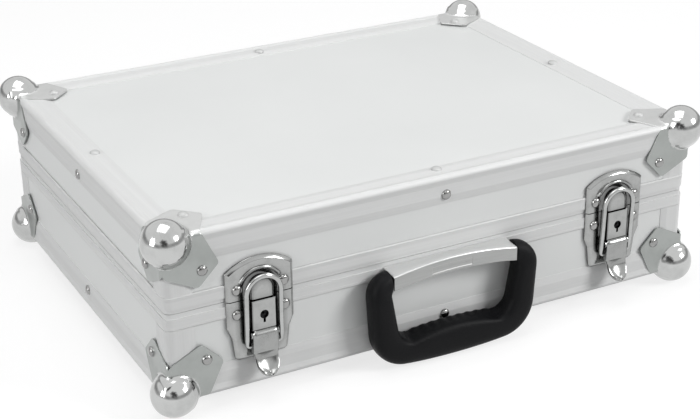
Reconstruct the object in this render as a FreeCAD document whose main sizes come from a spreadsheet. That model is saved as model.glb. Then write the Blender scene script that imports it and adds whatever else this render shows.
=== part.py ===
# Hard case for hand microphones: aluminium profiles round laminated panels, pressed ball corners,
# two lever latches with locks, a folding carrying handle, two stop hinges and a cut foam insert.
# Case frame: x from the middle of the length, y from the front face inwards, z from the underside.
import FreeCAD, Part
import math
import os
import re

import Sketcher

Vector = FreeCAD.Vector
Rotation = FreeCAD.Rotation

doc = FreeCAD.newDocument("MicrophoneCase")

# Driving sizes in millimetres and degrees
SIZES = {
    # Outside of the profiles, without the ball corners
    "case_length": 390,
    "case_depth": 295,
    "case_height": 111,
    "parting_height": 60.2,
    "parting_gap": 0.4,
    # Edge and corner profiles
    "profile_wall": 1.0,
    "flange_width": 19,
    "flange_bevel": 5,
    "flange_tip": 0.3,
    "nose_radius": 6,
    "nose_core": 7.2,
    "lip_wall": 1.0,
    "lip_reach": 7,
    "panel_thickness": 5,
    # Closing profiles where lid and base meet
    "closing_lid_height": 11.3,
    "closing_base_height": 11.2,
    "closing_lip_height": 2.2,
    "closing_lip_depth": 0.7,
    "closing_recess_depth": 0.8,
    "closing_recess_height": 3.1,
    "closing_web": 7.2,
    "groove_inset": 1.8,
    "groove_width": 3.4,
    "groove_depth": 3.2,
    "tongue_side_gap": 0.8,
    "tongue_height": 3.0,
    # Ball corners
    "ball_radius": 15.3,
    "ball_inset": 4.1,
    "corner_sheet": 1.2,
    "leg_start": 25,
    "leg_reach": 36.3,
    "leg_shoulder": 22,
    "leg_root": 9,
    "corner_block": 60,
    "corner_rivet_inset": 25,
    # Rivets
    "rivet_radius": 3.5,
    "rivet_rise": 2.0,
    "rivet_shank_radius": 1.6,
    "rivet_grip": 5.6,
    "flange_rivet_inset": 12.5,
    # Foam
    "foam_floor": 5,
    "foam_wall": 12,
    "foam_rib_rise": 45,
    "foam_rib_width": 11,
    "mic_slot_length": 190,
    "lid_foam_thickness": 29,
    # Latches
    "latch_inset": 62,
    "latch_plate": 2.4,
    "latch_bevel": 1.6,
    "latch_half_width": 22.7,
    "catch_shoulder": 19.1,
    "catch_crown_radius": 36,
    "catch_ridge_radius": 14.9,
    "catch_ridge_thickness": 1.0,
    "catch_ridge_centre": 4.8,
    "catch_ridge_start": 28,
    "catch_rivet_spread": 15.6,
    "catch_rivet_height": 7.5,
    "keeper_half_width": 8,
    "keeper_rise": 3.2,
    "keeper_bevel": 0.8,
    "keeper_centre": 6.7,
    "strike_shoulder": 19,
    "strike_waist_drop": 25.5,
    "strike_waist_half": 19.8,
    "strike_foot_drop": 41.7,
    "strike_foot_half": 17.7,
    "strike_foot_radius": 3,
    "strike_rivet_spread": 16,
    "strike_rivet_drop": 9.2,
    "latch_clearance": 0.35,
    # Lock on each latch
    "lock_half_width": 8,
    "lock_bottom_drop": 20.6,
    "lock_rise": 4.6,
    "lock_bevel": 0.5,
    "lock_face_wall": 1.4,
    "keyhole_drop": 10.4,
    "keyhole_radius": 2.9,
    "keyhole_slot_width": 1.6,
    "keyhole_slot_reach": 5.5,
    "rotor_radius": 3.9,
    "rotor_thickness": 1.4,
    "rotor_end_gap": 0.3,
    "rotor_pin_radius": 0.8,
    "rotor_pin_length": 1.4,
    "cam_room_radius": 5.4,
    "cam_room_depth": 1.8,
    "cam_width": 3,
    "cam_reach": 5.0,
    "running_gap": 0.05,
    # Lever and bail of each latch
    "lever_half_width": 8,
    "lever_barrel_radius": 2.7,
    "lever_sheet": 1.6,
    "lever_cheek": 1.6,
    "lever_cheek_back": 1.8,
    "lever_crease_drop": 11,
    "lever_crease_step": 0.9,
    "tongue_drop": 25,
    "tongue_flare": 6.4,
    "tongue_thickness": 1.5,
    "tongue_curve_radius": 26,
    "tongue_tip_radius": 7,
    "lever_pin_radius": 1.1,
    "ear_gap": 0.3,
    "ear_thickness": 1.2,
    "ear_radius": 2.5,
    "bail_wire_radius": 1.6,
    "bail_half_spread": 11.6,
    "bail_height": 47.7,
    "bail_drop": 7.7,
    "bail_pin_radius": 1.0,
    "bail_lean": 2.4,
    # Handle and its bracket
    "bracket_half_length": 46,
    "bracket_depth": 15,
    "bracket_sheet": 1.2,
    "bracket_back_top": 57.6,
    "bracket_front_top": 56.5,
    "bracket_crown": 61.7,
    "bracket_front_bottom": 47,
    "bracket_arch_bottom": 51.4,
    "bracket_back_bottom": 44,
    "bracket_lug": 3,
    "bracket_lug_inset": 11.5,
    "handle_pivot_out": 8,
    "handle_pivot_height": 51.2,
    "handle_top_radius": 7.6,
    "handle_shoulder_drop": 12,
    "handle_bend_radius": 30,
    "handle_end_gap": 0.4,
    "handle_leg_width": 17,
    "handle_leg_back": 2.2,
    "handle_half_foot": 59,
    "handle_reach": 61.6,
    "handle_sag": 3.8,
    "handle_grip_height": 20.6,
    "handle_grip_depth": 16,
    "handle_grip_hump": 2.8,
    "handle_opening_half": 41,
    "handle_corner_radius": 26,
    "handle_opening_radius": 11,
    "handle_edge_radius": 4.5,
    "handle_tang_radius": 4,
    "handle_tang_length": 10,
    "handle_pin_radius": 2,
    "handle_pin_depth": 8,
    # Hinges at the back
    "hinge_inset": 85,
    "hinge_half_width": 25,
    "hinge_sheet": 1.5,
    "hinge_barrel_radius": 3.2,
    "hinge_offset": 3.6,
    "hinge_leaf_height": 25,
    "hinge_knuckle_half": 8,
    "hinge_gap": 0.4,
    "hinge_notch": 4.0,
    "hinge_pin_radius": 1.5,
    "hinge_stop_reach": 8,
    "hinge_stop_rise": 0.35,
    "hinge_stop_thickness": 2,
    "hinge_stop_half": 6,
    "hinge_rivet_spread": 17,
    "hinge_rivet_height": 16.5,
    # One overrun for all cuts
    "overrun": 1,
}
MIC_SLOTS = 6

sizes = doc.addObject("Spreadsheet::Sheet", "Sizes")
for row, (alias, value) in enumerate(SIZES.items(), start=1):
    sizes.set(f"A{row}", alias)
    sizes.set(f"B{row}", str(value))
    sizes.setAlias(f"B{row}", alias)
doc.recompute()

# Derived places, written once as sums of the sizes above
BALL_REACH = "(ball_radius - ball_inset)"
HANDLE_FRONT = "(handle_leg_back + handle_grip_depth)"
CASE_FRONT = f"(({HANDLE_FRONT} - case_depth - {BALL_REACH}) / 2)"
PANEL_INNER = "(profile_wall + panel_thickness)"
FOAM_INSET = f"({PANEL_INNER} + lip_wall)"
BASE_PANEL_TOP = "(parting_height - closing_web)"
LID_SEAT = "(parting_height + parting_gap)"
LID_PANEL_BOTTOM = f"({LID_SEAT} + closing_web)"
BASE_RIM = "(parting_height - closing_base_height)"
LID_RIM = f"({LID_SEAT} + closing_lid_height)"
FOAM_WIDTH = f"(case_length - 2 * {FOAM_INSET})"
FOAM_DEPTH = f"(case_depth - 2 * {FOAM_INSET})"
SLOT_WIDTH = f"(({FOAM_WIDTH} - {MIC_SLOTS + 1} * foam_rib_width) / {MIC_SLOTS})"
BAY_FRONT = f"({FOAM_INSET} + 2 * foam_wall + mic_slot_length)"
LATCH_X = "(case_length / 2 - latch_inset)"
LEVER_OUT = "(latch_plate + latch_clearance + lever_barrel_radius)"
LEVER_DROP = "(lock_bottom_drop + 2 * latch_clearance + lever_barrel_radius)"
LOCK_OUT = "(latch_plate + lock_rise)"
LOCK_ROOM_OUT = f"({LOCK_OUT} - lock_face_wall)"
BAIL_CENTRE = "(bail_height - bail_half_spread)"
HINGE_X = "(case_length / 2 - hinge_inset)"


def formula(text):
    """The same sum with every size named as a cell of the sheet."""
    return re.sub(r"\b[a-z]+_[a-z_]+\b|\boverrun\b", lambda name: "Sizes." + name.group(0), text)


def measure(text):
    """The value of a sum now, for laying out sketches before their constraints hold them."""
    return float(sizes.evalExpression(formula(text)))


def bind(item, **sums):
    """Ties properties of an object to sums of sizes."""
    for name, text in sums.items():
        item.setExpression(name.replace("__", "."), formula(text))
    return item


def place(item, x="0", y="0", z="0", rotation=None):
    """Puts an object at a point of the case frame, and that frame into the part's own."""
    if rotation is not None:
        item.Placement = FreeCAD.Placement(Vector(), rotation)
    return bind(
        item,
        Placement__Base__x=x,
        Placement__Base__y=f"{CASE_FRONT} + ({y})",
        Placement__Base__z=f"{BALL_REACH} + ({z})",
    )


# Sketches, each held by its points' own sums
def body(label):
    item = doc.addObject("PartDesign::Body", label)
    item.Label = label
    return item


def arc_centre(start, end, radius, left):
    """The centre of the short arc between two points, on the left or right of the way."""
    across = Vector(end[0] - start[0], end[1] - start[1], 0)
    middle = Vector((start[0] + end[0]) / 2, (start[1] + end[1]) / 2, 0)
    rise = math.sqrt(max(radius**2 - (across.Length / 2) ** 2, 0))
    normal = Vector(-across.y, across.x, 0).normalize()
    return middle + normal * (rise if left else -rise)


def add_loop(sketch, points):
    """A closed outline. A point may carry an arc to the next one: (x, y, radius, centre on left)."""
    places = [(measure(point[0]), measure(point[1])) for point in points]
    ends = []
    for index, point in enumerate(points):
        start, end = places[index], places[(index + 1) % len(points)]
        first, last = 1, 2
        if len(point) == 2:
            piece = Part.LineSegment(Vector(*start, 0), Vector(*end, 0))
        else:
            radius = measure(point[2])
            centre = arc_centre(start, end, radius, point[3])
            turns = [math.atan2(spot[1] - centre.y, spot[0] - centre.x) for spot in (start, end)]
            if not point[3]:
                turns.reverse()
                first, last = 2, 1
            if turns[1] < turns[0]:
                turns[1] += 2 * math.pi
            circle = Part.Circle(centre, Vector(0, 0, 1), radius)
            piece = Part.ArcOfCircle(circle, *turns)
        ends.append((sketch.addGeometry(piece, False), first, last))
    for index, (piece, first, last) in enumerate(ends):
        following = ends[(index + 1) % len(ends)]
        sketch.addConstraint(Sketcher.Constraint("Coincident", piece, last, following[0], following[1]))
    for point, spot, (piece, first, last) in zip(points, places, ends):
        hold(sketch, "DistanceX", (-1, 1, piece, first), point[0], spot[0])
        hold(sketch, "DistanceY", (-1, 1, piece, first), point[1], spot[1])
        if len(point) > 2:
            hold(sketch, "Radius", (piece,), point[2], measure(point[2]))


def hold(sketch, kind, where, text, value):
    number = sketch.addConstraint(Sketcher.Constraint(kind, *where, value))
    sketch.setExpression(f"Constraints[{number}]", formula(text))


def add_circle(sketch, x, y, radius):
    centre = Vector(measure(x), measure(y), 0)
    piece = sketch.addGeometry(Part.Circle(centre, Vector(0, 0, 1), measure(radius)), False)
    hold(sketch, "DistanceX", (-1, 1, piece, 3), x, centre.x)
    hold(sketch, "DistanceY", (-1, 1, piece, 3), y, centre.y)
    hold(sketch, "Radius", (piece,), radius, measure(radius))


def sketch_on(item, role, loops, offset="0"):
    """A sketch on one of the body's own planes, from outlines and circles."""
    sketch = item.newObject("Sketcher::SketchObject", f"{item.Name}Outline")
    plane = next(part for part in item.Origin.OriginFeatures if part.Role == role)
    sketch.AttachmentSupport = [(plane, "")]
    sketch.MapMode = "FlatFace"
    bind(sketch, AttachmentOffset__Base__z=offset)
    for loop in loops:
        if isinstance(loop, tuple):
            add_circle(sketch, *loop)
        else:
            add_loop(sketch, loop)
    return sketch


def pad(item, role, loops, length, offset="0", middle=False):
    """Adds a prism: on XZ towards the front, on YZ towards +x, on XY upwards."""
    feature_sketch = sketch_on(item, role, loops, offset)
    feature = item.newObject("PartDesign::Pad", f"{item.Name}Pad")
    feature.Profile = feature_sketch
    feature.Midplane = middle
    return bind(feature, Length=length)


def pocket(item, role, loops, length, offset="0", middle=False):
    """Cuts a prism, starting from its plane the same way as a pad."""
    feature_sketch = sketch_on(item, role, loops, offset)
    feature = item.newObject("PartDesign::Pocket", f"{item.Name}Pocket")
    feature.Profile = feature_sketch
    feature.Midplane = middle
    feature.Reversed = not middle
    return bind(feature, Length=length)


def rectangle(left, bottom, right, top):
    return [(left, bottom), (right, bottom), (right, top), (left, top)]


def rounded_rectangle(half_x, half_y, radius):
    """Four sides and four quarter arcs, from the middle of the plane."""
    inner_x, inner_y = f"({half_x} - {radius})", f"({half_y} - {radius})"
    return [
        (half_x, f"-{inner_y}"),
        (half_x, inner_y, radius, True),
        (inner_x, half_y),
        (f"-{inner_x}", half_y, radius, True),
        (f"-{half_x}", inner_y),
        (f"-{half_x}", f"-{inner_y}", radius, True),
        (f"-{inner_x}", f"-{half_y}"),
        (inner_x, f"-{half_y}", radius, True),
    ]


def edges_where(feature, test):
    """Names of the edges of a feature that pass a test."""
    doc.recompute()
    return [f"Edge{number}" for number, edge in enumerate(feature.Shape.Edges, 1) if test(edge)]


def soften(item, feature, kind, names, **sums):
    """A fillet or chamfer of a body's latest feature."""
    finish = item.newObject(f"PartDesign::{kind}", f"{item.Name}{kind}")
    finish.Base = (feature, names)
    return bind(finish, **sums)


def at_plane(edge, axis, value):
    """Does the whole edge lie in one plane across an axis?"""
    slack = measure("running_gap") / 10
    box = edge.BoundBox
    low, high = getattr(box, f"{axis}Min"), getattr(box, f"{axis}Max")
    return abs(low - value) < slack and abs(high - value) < slack


def box(label, x, y, z, length, width, height):
    """A plain block from its lowest corner in the case frame."""
    item = doc.addObject("Part::Box", label)
    item.Label = label
    bind(item, Length=length, Width=width, Height=height)
    return place(item, x, y, z)


def group(label, items):
    item = doc.addObject("Part::Compound", label)
    item.Label = label
    item.Links = items
    return item


def repeat(label, form, x="0", y="0", z="0", rotation=None):
    """The same piece again at a place of its own in the case frame."""
    return place(group(label, [form]), x, y, z, rotation)


nodes = []


def keep(item):
    nodes.append(item)
    return item


# Edge and corner profiles: an angle with a solid rounded nose and a slot for each panel
TIP_FLAT = "(flange_width - flange_bevel)"
TIP_RISE = "(profile_wall - flange_tip)"
LIP_END = f"({PANEL_INNER} + lip_wall + lip_reach)"
MITRE_START = "(nose_radius * (1 - cos(45)))"


def profile_section(across, up):
    """The profile's outline, with signs for the way its two flanges run."""
    outline = [
        ("0", "nose_radius", "nose_radius", True),
        ("nose_radius", "0"),
        (TIP_FLAT, "0"),
        ("flange_width", TIP_RISE),
        ("flange_width", "profile_wall"),
        ("nose_core", "profile_wall"),
        ("nose_core", PANEL_INNER),
        (LIP_END, PANEL_INNER),
        (LIP_END, FOAM_INSET),
        (FOAM_INSET, FOAM_INSET),
        (FOAM_INSET, LIP_END),
        (PANEL_INNER, LIP_END),
        (PANEL_INNER, "nose_core"),
        ("profile_wall", "nose_core"),
        ("profile_wall", "flange_width"),
        (TIP_RISE, "flange_width"),
        ("0", TIP_FLAT),
    ]
    mirrored = across * up < 0
    signed = []
    for x, y, *arc in outline:
        if arc and mirrored:
            arc = [arc[0], not arc[1]]
        signed.append((f"{across} * {x}", f"{up} * {y}", *arc))
    return signed


def edge_profile(label, run, x, y, z, turn, under):
    """One long profile, mitred at both ends. Its own frame has the outer edge along x."""
    item = body(label)
    pad(item, "YZ_Plane", [profile_section(1, -1)], run, middle=True)
    mitres = []
    for side in (-1, 1):
        beyond = f"{side} * ({run} / 2 + overrun)"
        inner = f"{side} * ({run} / 2 - flange_width - overrun)"
        bend = f"{side} * ({run} / 2 - nose_radius)"
        mitre = [
            (beyond, "-overrun"),
            (beyond, "flange_width + overrun"),
            (inner, "flange_width + overrun"),
            (f"{side} * ({run} / 2 - {MITRE_START})", MITRE_START, "nose_radius", side < 0),
            (bend, "0"),
            (bend, "-overrun"),
        ]
        mitres.append(mitre)
    pocket(item, "XY_Plane", mitres, "4 * flange_width", middle=True)
    rotation = Rotation(Vector(0, 0, 1), turn)
    if under:
        rotation = rotation.multiply(Rotation(Vector(0, 1, 0), 180))
    return keep(place(item, x, y, z, rotation))


def edge_profiles(shell, z, under):
    edge_profile(f"{shell}_front_edge", "case_length", "0", "0", z, 0, under)
    edge_profile(f"{shell}_back_edge", "case_length", "0", "case_depth", z, 180, under)
    edge_profile(f"{shell}_left_edge", "case_depth", "-case_length / 2", "case_depth / 2", z, -90, under)
    edge_profile(f"{shell}_right_edge", "case_depth", "case_length / 2", "case_depth / 2", z, 90, under)


def corner_posts(shell, z, height):
    """The four upright profiles of a shell."""
    form = body(f"{shell}_post_form")
    pad(form, "XY_Plane", [profile_section(1, 1)], height)
    posts = []
    for number, (x, y) in enumerate(CORNERS):
        turn = Rotation(Vector(0, 0, 1), 90 * number)
        posts.append(repeat(f"{shell}_post_{number}", form, x, y, z, turn))
    return keep(group(f"{shell}_corner_posts", posts))


CORNERS = [
    ("-case_length / 2", "0"),
    ("case_length / 2", "0"),
    ("case_length / 2", "case_depth"),
    ("-case_length / 2", "case_depth"),
]
CORNER_NAMES = ["front_left", "front_right", "back_right", "back_left"]

edge_profiles("lid", "case_height", False)
edge_profiles("base", "0", True)
corner_posts("lid", LID_RIM, f"case_height - flange_width - {LID_RIM}")
corner_posts("base", "flange_width", f"{BASE_RIM} - flange_width")

# Laminated panels, slotted into the profiles


def shell_panels(shell, flat_z, side_z, side_height):
    """A flat panel and the four walls of the lid or the base."""
    inner = "nose_core"
    long_run, short_run = f"case_length - 2 * {inner}", f"case_depth - 2 * {inner}"
    flat = "lid_top_panel" if shell == "lid" else "base_bottom_panel"
    keep(box(flat, f"-({long_run}) / 2", inner, flat_z, long_run, short_run, "panel_thickness"))
    far_y = f"case_depth - {PANEL_INNER}"
    for name, y in (("front", "profile_wall"), ("back", far_y)):
        label = f"{shell}_{name}_panel"
        keep(box(label, f"-({long_run}) / 2", y, side_z, long_run, "panel_thickness", side_height))
    left_x, right_x = "profile_wall - case_length / 2", f"case_length / 2 - {PANEL_INNER}"
    for name, x in (("left", left_x), ("right", right_x)):
        label = f"{shell}_{name}_panel"
        keep(box(label, x, inner, side_z, "panel_thickness", short_run, side_height))


shell_panels("lid", f"case_height - {PANEL_INNER}", LID_PANEL_BOTTOM, f"case_height - nose_core - {LID_PANEL_BOTTOM}")
shell_panels("base", "profile_wall", "nose_core", f"{BASE_PANEL_TOP} - nose_core")

# Closing profiles: a tongue under the lid's rim drops into a groove round the base's rim


def ring(*outlines):
    """Outlines that follow the case, each at an inset from its faces and with a corner radius or none."""
    loops = []
    for inset, radius in outlines:
        half_x, half_y = f"(case_length / 2 - {inset})", f"(case_depth / 2 - {inset})"
        if radius:
            loops.append(rounded_rectangle(half_x, half_y, radius))
        else:
            loops.append(rectangle(f"-{half_x}", f"-{half_y}", half_x, half_y))
    return loops


GROOVE_END = "(groove_inset + groove_width)"
TONGUE_START = "(groove_inset + tongue_side_gap)"
TONGUE_END = f"({GROOVE_END} - tongue_side_gap)"
FRAME_RING = ring(("0", "nose_radius"), (FOAM_INSET, None))
SLOT_RING = ring(("profile_wall", "(nose_radius - profile_wall)"), (PANEL_INNER, None))
RECESS_RING = ring(("-overrun", "nose_radius"), ("closing_recess_depth", "(nose_radius - closing_recess_depth)"))
GROOVE_RING = ring(
    ("groove_inset", "(nose_radius - groove_inset)"), (GROOVE_END, f"(nose_radius - {GROOVE_END})")
)
TONGUE_RING = ring(
    (TONGUE_START, f"(nose_radius - {TONGUE_START})"), (TONGUE_END, f"(nose_radius - {TONGUE_END})")
)


def lip_bevel(item, feature, height):
    """A shallow bevel along the outermost edge of the frame at one height."""
    half_x, half_y = measure("case_length / 2"), measure("case_depth / 2")
    inner = measure("nose_radius")

    def outermost(edge):
        """The middle of a straight edge is on a face; that of an arc is on the corner's rounding."""
        middle = edge.valueAt((edge.FirstParameter + edge.LastParameter) / 2)
        side = max(abs(middle.x) - half_x, abs(middle.y) - half_y)
        corner = Vector(abs(middle.x) - half_x + inner, abs(middle.y) - half_y + inner, 0).Length
        slack = measure("running_gap")
        return at_plane(edge, "Z", height) and (abs(side) < slack or abs(corner - inner) < slack)

    bevel = soften(item, feature, "Chamfer", edges_where(feature, outermost))
    bevel.ChamferType = "Two distances"
    return bind(bevel, Size="closing_lip_height", Size2="closing_lip_depth")


def base_closing_frame():
    item = body("base_closing_frame")
    web = pad(item, "XY_Plane", FRAME_RING, "closing_base_height", "-closing_base_height")
    lip_bevel(item, web, -measure("closing_base_height"))
    pocket(item, "XY_Plane", SLOT_RING, "closing_base_height - closing_web + overrun", "-closing_base_height - overrun")
    pocket(item, "XY_Plane", RECESS_RING, "closing_recess_height + overrun", "-closing_recess_height")
    pocket(item, "XY_Plane", GROOVE_RING, "groove_depth + overrun", "-groove_depth")
    return keep(place(item, "0", "case_depth / 2", "parting_height"))


def lid_closing_frame():
    item = body("lid_closing_frame")
    web = pad(item, "XY_Plane", FRAME_RING, "closing_lid_height")
    lip_bevel(item, web, measure("closing_lid_height"))
    pocket(item, "XY_Plane", SLOT_RING, "closing_lid_height - closing_web + overrun", "closing_web")
    recess = "(closing_recess_height - parting_gap)"
    pocket(item, "XY_Plane", RECESS_RING, f"{recess} + overrun", "-overrun")
    pad(item, "XY_Plane", TONGUE_RING, "tongue_height", "-tongue_height")
    return keep(place(item, "0", "case_depth / 2", LID_SEAT))


base_closing_frame()
lid_closing_frame()

# Pressed ball corners: three five-sided legs and a hollow ball, wrapped round the case's corner


def corner_legs():
    """Three thick legs in the corner's own frame, with the case in the positive octant."""
    item = body("corner_legs")
    outline = [
        ("-corner_sheet", "-corner_sheet"),
        ("leg_start", "-corner_sheet"),
        ("leg_reach", "leg_shoulder"),
        ("leg_shoulder", "leg_reach"),
        ("-corner_sheet", "leg_start"),
    ]
    thickness = "corner_sheet + leg_root"
    pad(item, "XY_Plane", [outline], thickness, "-corner_sheet")
    pad(item, "YZ_Plane", [outline], thickness, "-corner_sheet")
    pad(item, "XZ_Plane", [outline], thickness, "-leg_root")
    return item


def rounded_block(label, grow, radius):
    """A block with its lowest corner and the three edges there rounded, as the profiles are."""
    item = body(label)
    size = f"corner_block + {grow}"
    block = pad(item, "XY_Plane", [rectangle(f"-{grow}", f"-{grow}", size, size)], size, f"-{grow}")
    low = -measure(grow)
    slack = measure("running_gap")

    def at_corner(edge):
        bounds = edge.BoundBox
        lows = [abs(value - low) < slack for value in (bounds.XMin, bounds.YMin, bounds.ZMin)]
        thin = [span < slack for span in (bounds.XLength, bounds.YLength, bounds.ZLength)]
        return all(lows) and sum(thin) == 2

    soften(item, block, "Fillet", edges_where(block, at_corner), Radius=radius)
    return item


def ball(label, radius):
    item = doc.addObject("Part::Sphere", label)
    return bind(
        item,
        Radius=radius,
        Placement__Base__x="ball_inset",
        Placement__Base__y="ball_inset",
        Placement__Base__z="ball_inset",
    )


def boolean(kind, label, base, tool):
    item = doc.addObject(f"Part::{kind}", label)
    item.Base = base
    item.Tool = tool
    return item


def corner_form():
    outside = rounded_block("corner_outside", "corner_sheet", "nose_radius + corner_sheet")
    inside = rounded_block("corner_inside", "0", "nose_radius")
    legs = boolean("Common", "corner_legs_bent", corner_legs(), outside)
    whole = boolean("Fuse", "corner_with_ball", legs, ball("corner_ball", "ball_radius"))
    hollow = boolean("Cut", "corner_hollow", whole, ball("corner_ball_inside", "ball_radius - corner_sheet"))
    return boolean("Cut", "corner_form", hollow, inside)


ball_corner = corner_form()
for number, (x, y) in enumerate(CORNERS):
    low_turn = Rotation(Vector(0, 0, 1), 90 * number)
    flip = Rotation(Vector(0, 0, 1), 90).multiply(Rotation(Vector(1, 0, 0), 180))
    high_turn = Rotation(Vector(0, 0, 1), 90 * number).multiply(flip)
    keep(repeat(f"base_ball_corner_{CORNER_NAMES[number]}", ball_corner, x, y, "0", low_turn))
    keep(repeat(f"lid_ball_corner_{CORNER_NAMES[number]}", ball_corner, x, y, "case_height", high_turn))

# Rivets: a low dome and its shank, pressed through what it holds
RIVET_CURVE = "((rivet_radius ^ 2 + rivet_rise ^ 2) / (2 * rivet_rise))"


def rivet_form():
    head = doc.addObject("Part::Sphere", "rivet_head")
    bind(head, Radius=RIVET_CURVE, Placement__Base__z=f"rivet_rise - {RIVET_CURVE}")
    head.setExpression("Angle1", f"asin({formula(f'({RIVET_CURVE} - rivet_rise) / {RIVET_CURVE}')})")
    shank = doc.addObject("Part::Cylinder", "rivet_shank")
    bind(shank, Radius="rivet_shank_radius", Height="rivet_grip", Placement__Base__z="-rivet_grip")
    return boolean("Fuse", "rivet_form", head, shank)


rivet = rivet_form()
FACING = {
    "up": Rotation(),
    "down": Rotation(Vector(1, 0, 0), 180),
    "front": Rotation(Vector(1, 0, 0), 90),
    "back": Rotation(Vector(1, 0, 0), -90),
    "left": Rotation(Vector(0, 1, 0), -90),
    "right": Rotation(Vector(0, 1, 0), 90),
}


def rivets(label, places):
    """A group of rivets, each with the way that its head faces and a point under the head."""
    items = [
        repeat(f"{label}_{number}", rivet, x, y, z, FACING[way])
        for number, (way, x, y, z) in enumerate(places)
    ]
    return keep(group(label, items))


def shell_rivets(shell, level, inward, outward):
    """Corner rivets on three faces of each corner, and one in the middle of each flange."""
    rise = f"({level} + {inward} * corner_rivet_inset)"
    middle = f"({level} + {inward} * flange_rivet_inset)"
    places = []
    for name, (x, y) in zip(CORNER_NAMES, CORNERS):
        in_x = "1" if "left" in name else "-1"
        in_y = "1" if "front" in name else "-1"
        along_x = f"{x} + {in_x} * corner_rivet_inset"
        along_y = f"{y} + {in_y} * corner_rivet_inset"
        places += [
            (outward, along_x, along_y, f"{level} - {inward} * corner_sheet"),
            ("front" if in_y == "1" else "back", along_x, f"{y} - {in_y} * corner_sheet", rise),
            ("left" if in_x == "1" else "right", f"{x} - {in_x} * corner_sheet", along_y, rise),
        ]
    places += [
        ("front", "0", "0", middle),
        ("back", "0", "case_depth", middle),
        ("left", "-case_length / 2", "case_depth / 2", middle),
        ("right", "case_length / 2", "case_depth / 2", middle),
        (outward, "0", "flange_rivet_inset", level),
        (outward, "0", "case_depth - flange_rivet_inset", level),
        (outward, "flange_rivet_inset - case_length / 2", "case_depth / 2", level),
        (outward, "case_length / 2 - flange_rivet_inset", "case_depth / 2", level),
    ]
    rivets(f"{shell}_profile_rivets", places)


shell_rivets("lid", "case_height", "-1", "up")
shell_rivets("base", "0", "1", "down")

# Foam insert: a floor pad, ribs between the microphone slots and walls round the accessory bay
FOAM_LEFT = f"(-{FOAM_WIDTH} / 2)"
FLOOR_TOP = f"({FOAM_INSET} + foam_floor)"


def foam_insert():
    keep(box("foam_floor_pad", FOAM_LEFT, FOAM_INSET, FOAM_INSET, FOAM_WIDTH, FOAM_DEPTH, "foam_floor"))
    ribs = []
    for number in range(MIC_SLOTS + 1):
        x = f"{FOAM_LEFT} + {number} * (foam_rib_width + {SLOT_WIDTH})"
        y = f"{FOAM_INSET} + foam_wall"
        ribs.append(box(f"foam_rib_{number}", x, y, FLOOR_TOP, "foam_rib_width", "mic_slot_length", "foam_rib_rise"))
    keep(group("foam_microphone_ribs", ribs))
    divider = f"{BAY_FRONT} - foam_wall"
    far = f"case_depth - {FOAM_INSET} - foam_wall"
    walls = [
        box(f"foam_wall_{number}", FOAM_LEFT, y, FLOOR_TOP, FOAM_WIDTH, "foam_wall", "foam_rib_rise")
        for number, y in enumerate((FOAM_INSET, divider, far))
    ]
    keep(group("foam_cross_walls", walls))
    bay = f"{far} - {BAY_FRONT}"
    ends = [
        box(f"foam_bay_end_{number}", x, BAY_FRONT, FLOOR_TOP, "foam_wall", bay, "foam_rib_rise")
        for number, x in enumerate((FOAM_LEFT, "-foam_wall / 2", f"-{FOAM_LEFT} - foam_wall"))
    ]
    keep(group("foam_bay_walls", ends))
    top = f"case_height - {FOAM_INSET} - lid_foam_thickness"
    keep(box("lid_foam", FOAM_LEFT, FOAM_INSET, top, FOAM_WIDTH, FOAM_DEPTH, "lid_foam_thickness"))


foam_insert()

# Lever latches. Their own frame: x from the latch's middle, y from the case's front, z from the parting


def catch_plate_form():
    """The lid's half: an arched plate with a pressed ridge and the keeper that the bail lies over."""
    item = body("catch_plate_form")
    seat = "parting_gap"
    arch = [
        ("-latch_half_width", seat),
        ("latch_half_width", seat),
        ("latch_half_width", "catch_shoulder", "catch_crown_radius", True),
        ("-latch_half_width", "catch_shoulder"),
    ]
    plate = pad(item, "XZ_Plane", [arch], "latch_plate")
    front = -measure("latch_plate")
    low = measure(seat)

    def rim(edge):
        return at_plane(edge, "Y", front) and not at_plane(edge, "Z", low)

    soften(item, plate, "Chamfer", edges_where(plate, rim), Size="latch_bevel")
    keeper = [
        ("-keeper_half_width", seat),
        ("keeper_half_width", seat),
        ("keeper_half_width", "keeper_centre", "keeper_half_width", True),
        ("0", "keeper_centre + keeper_half_width", "keeper_half_width", True),
        ("-keeper_half_width", "keeper_centre"),
    ]
    boss = pad(item, "XZ_Plane", [keeper], "latch_plate + keeper_rise")
    face = -measure("latch_plate + keeper_rise")

    def keeper_rim(edge):
        return at_plane(edge, "Y", face) and not at_plane(edge, "Z", low)

    soften(item, boss, "Chamfer", edges_where(boss, keeper_rim), Size="keeper_bevel")
    ridge = doc.addObject("Part::Torus", "catch_ridge")
    bind(ridge, Radius1="catch_ridge_radius", Radius2="catch_ridge_thickness", Angle3="180 - 2 * catch_ridge_start")
    turn = Rotation(Vector(1, 0, 0), 90).multiply(Rotation(Vector(0, 0, 1), measure("catch_ridge_start")))
    ridge.Placement = FreeCAD.Placement(Vector(), turn)
    bind(ridge, Placement__Base__y="-latch_plate", Placement__Base__z="catch_ridge_centre")
    return boolean("Fuse", "catch_plate_whole", item, ridge)


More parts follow.
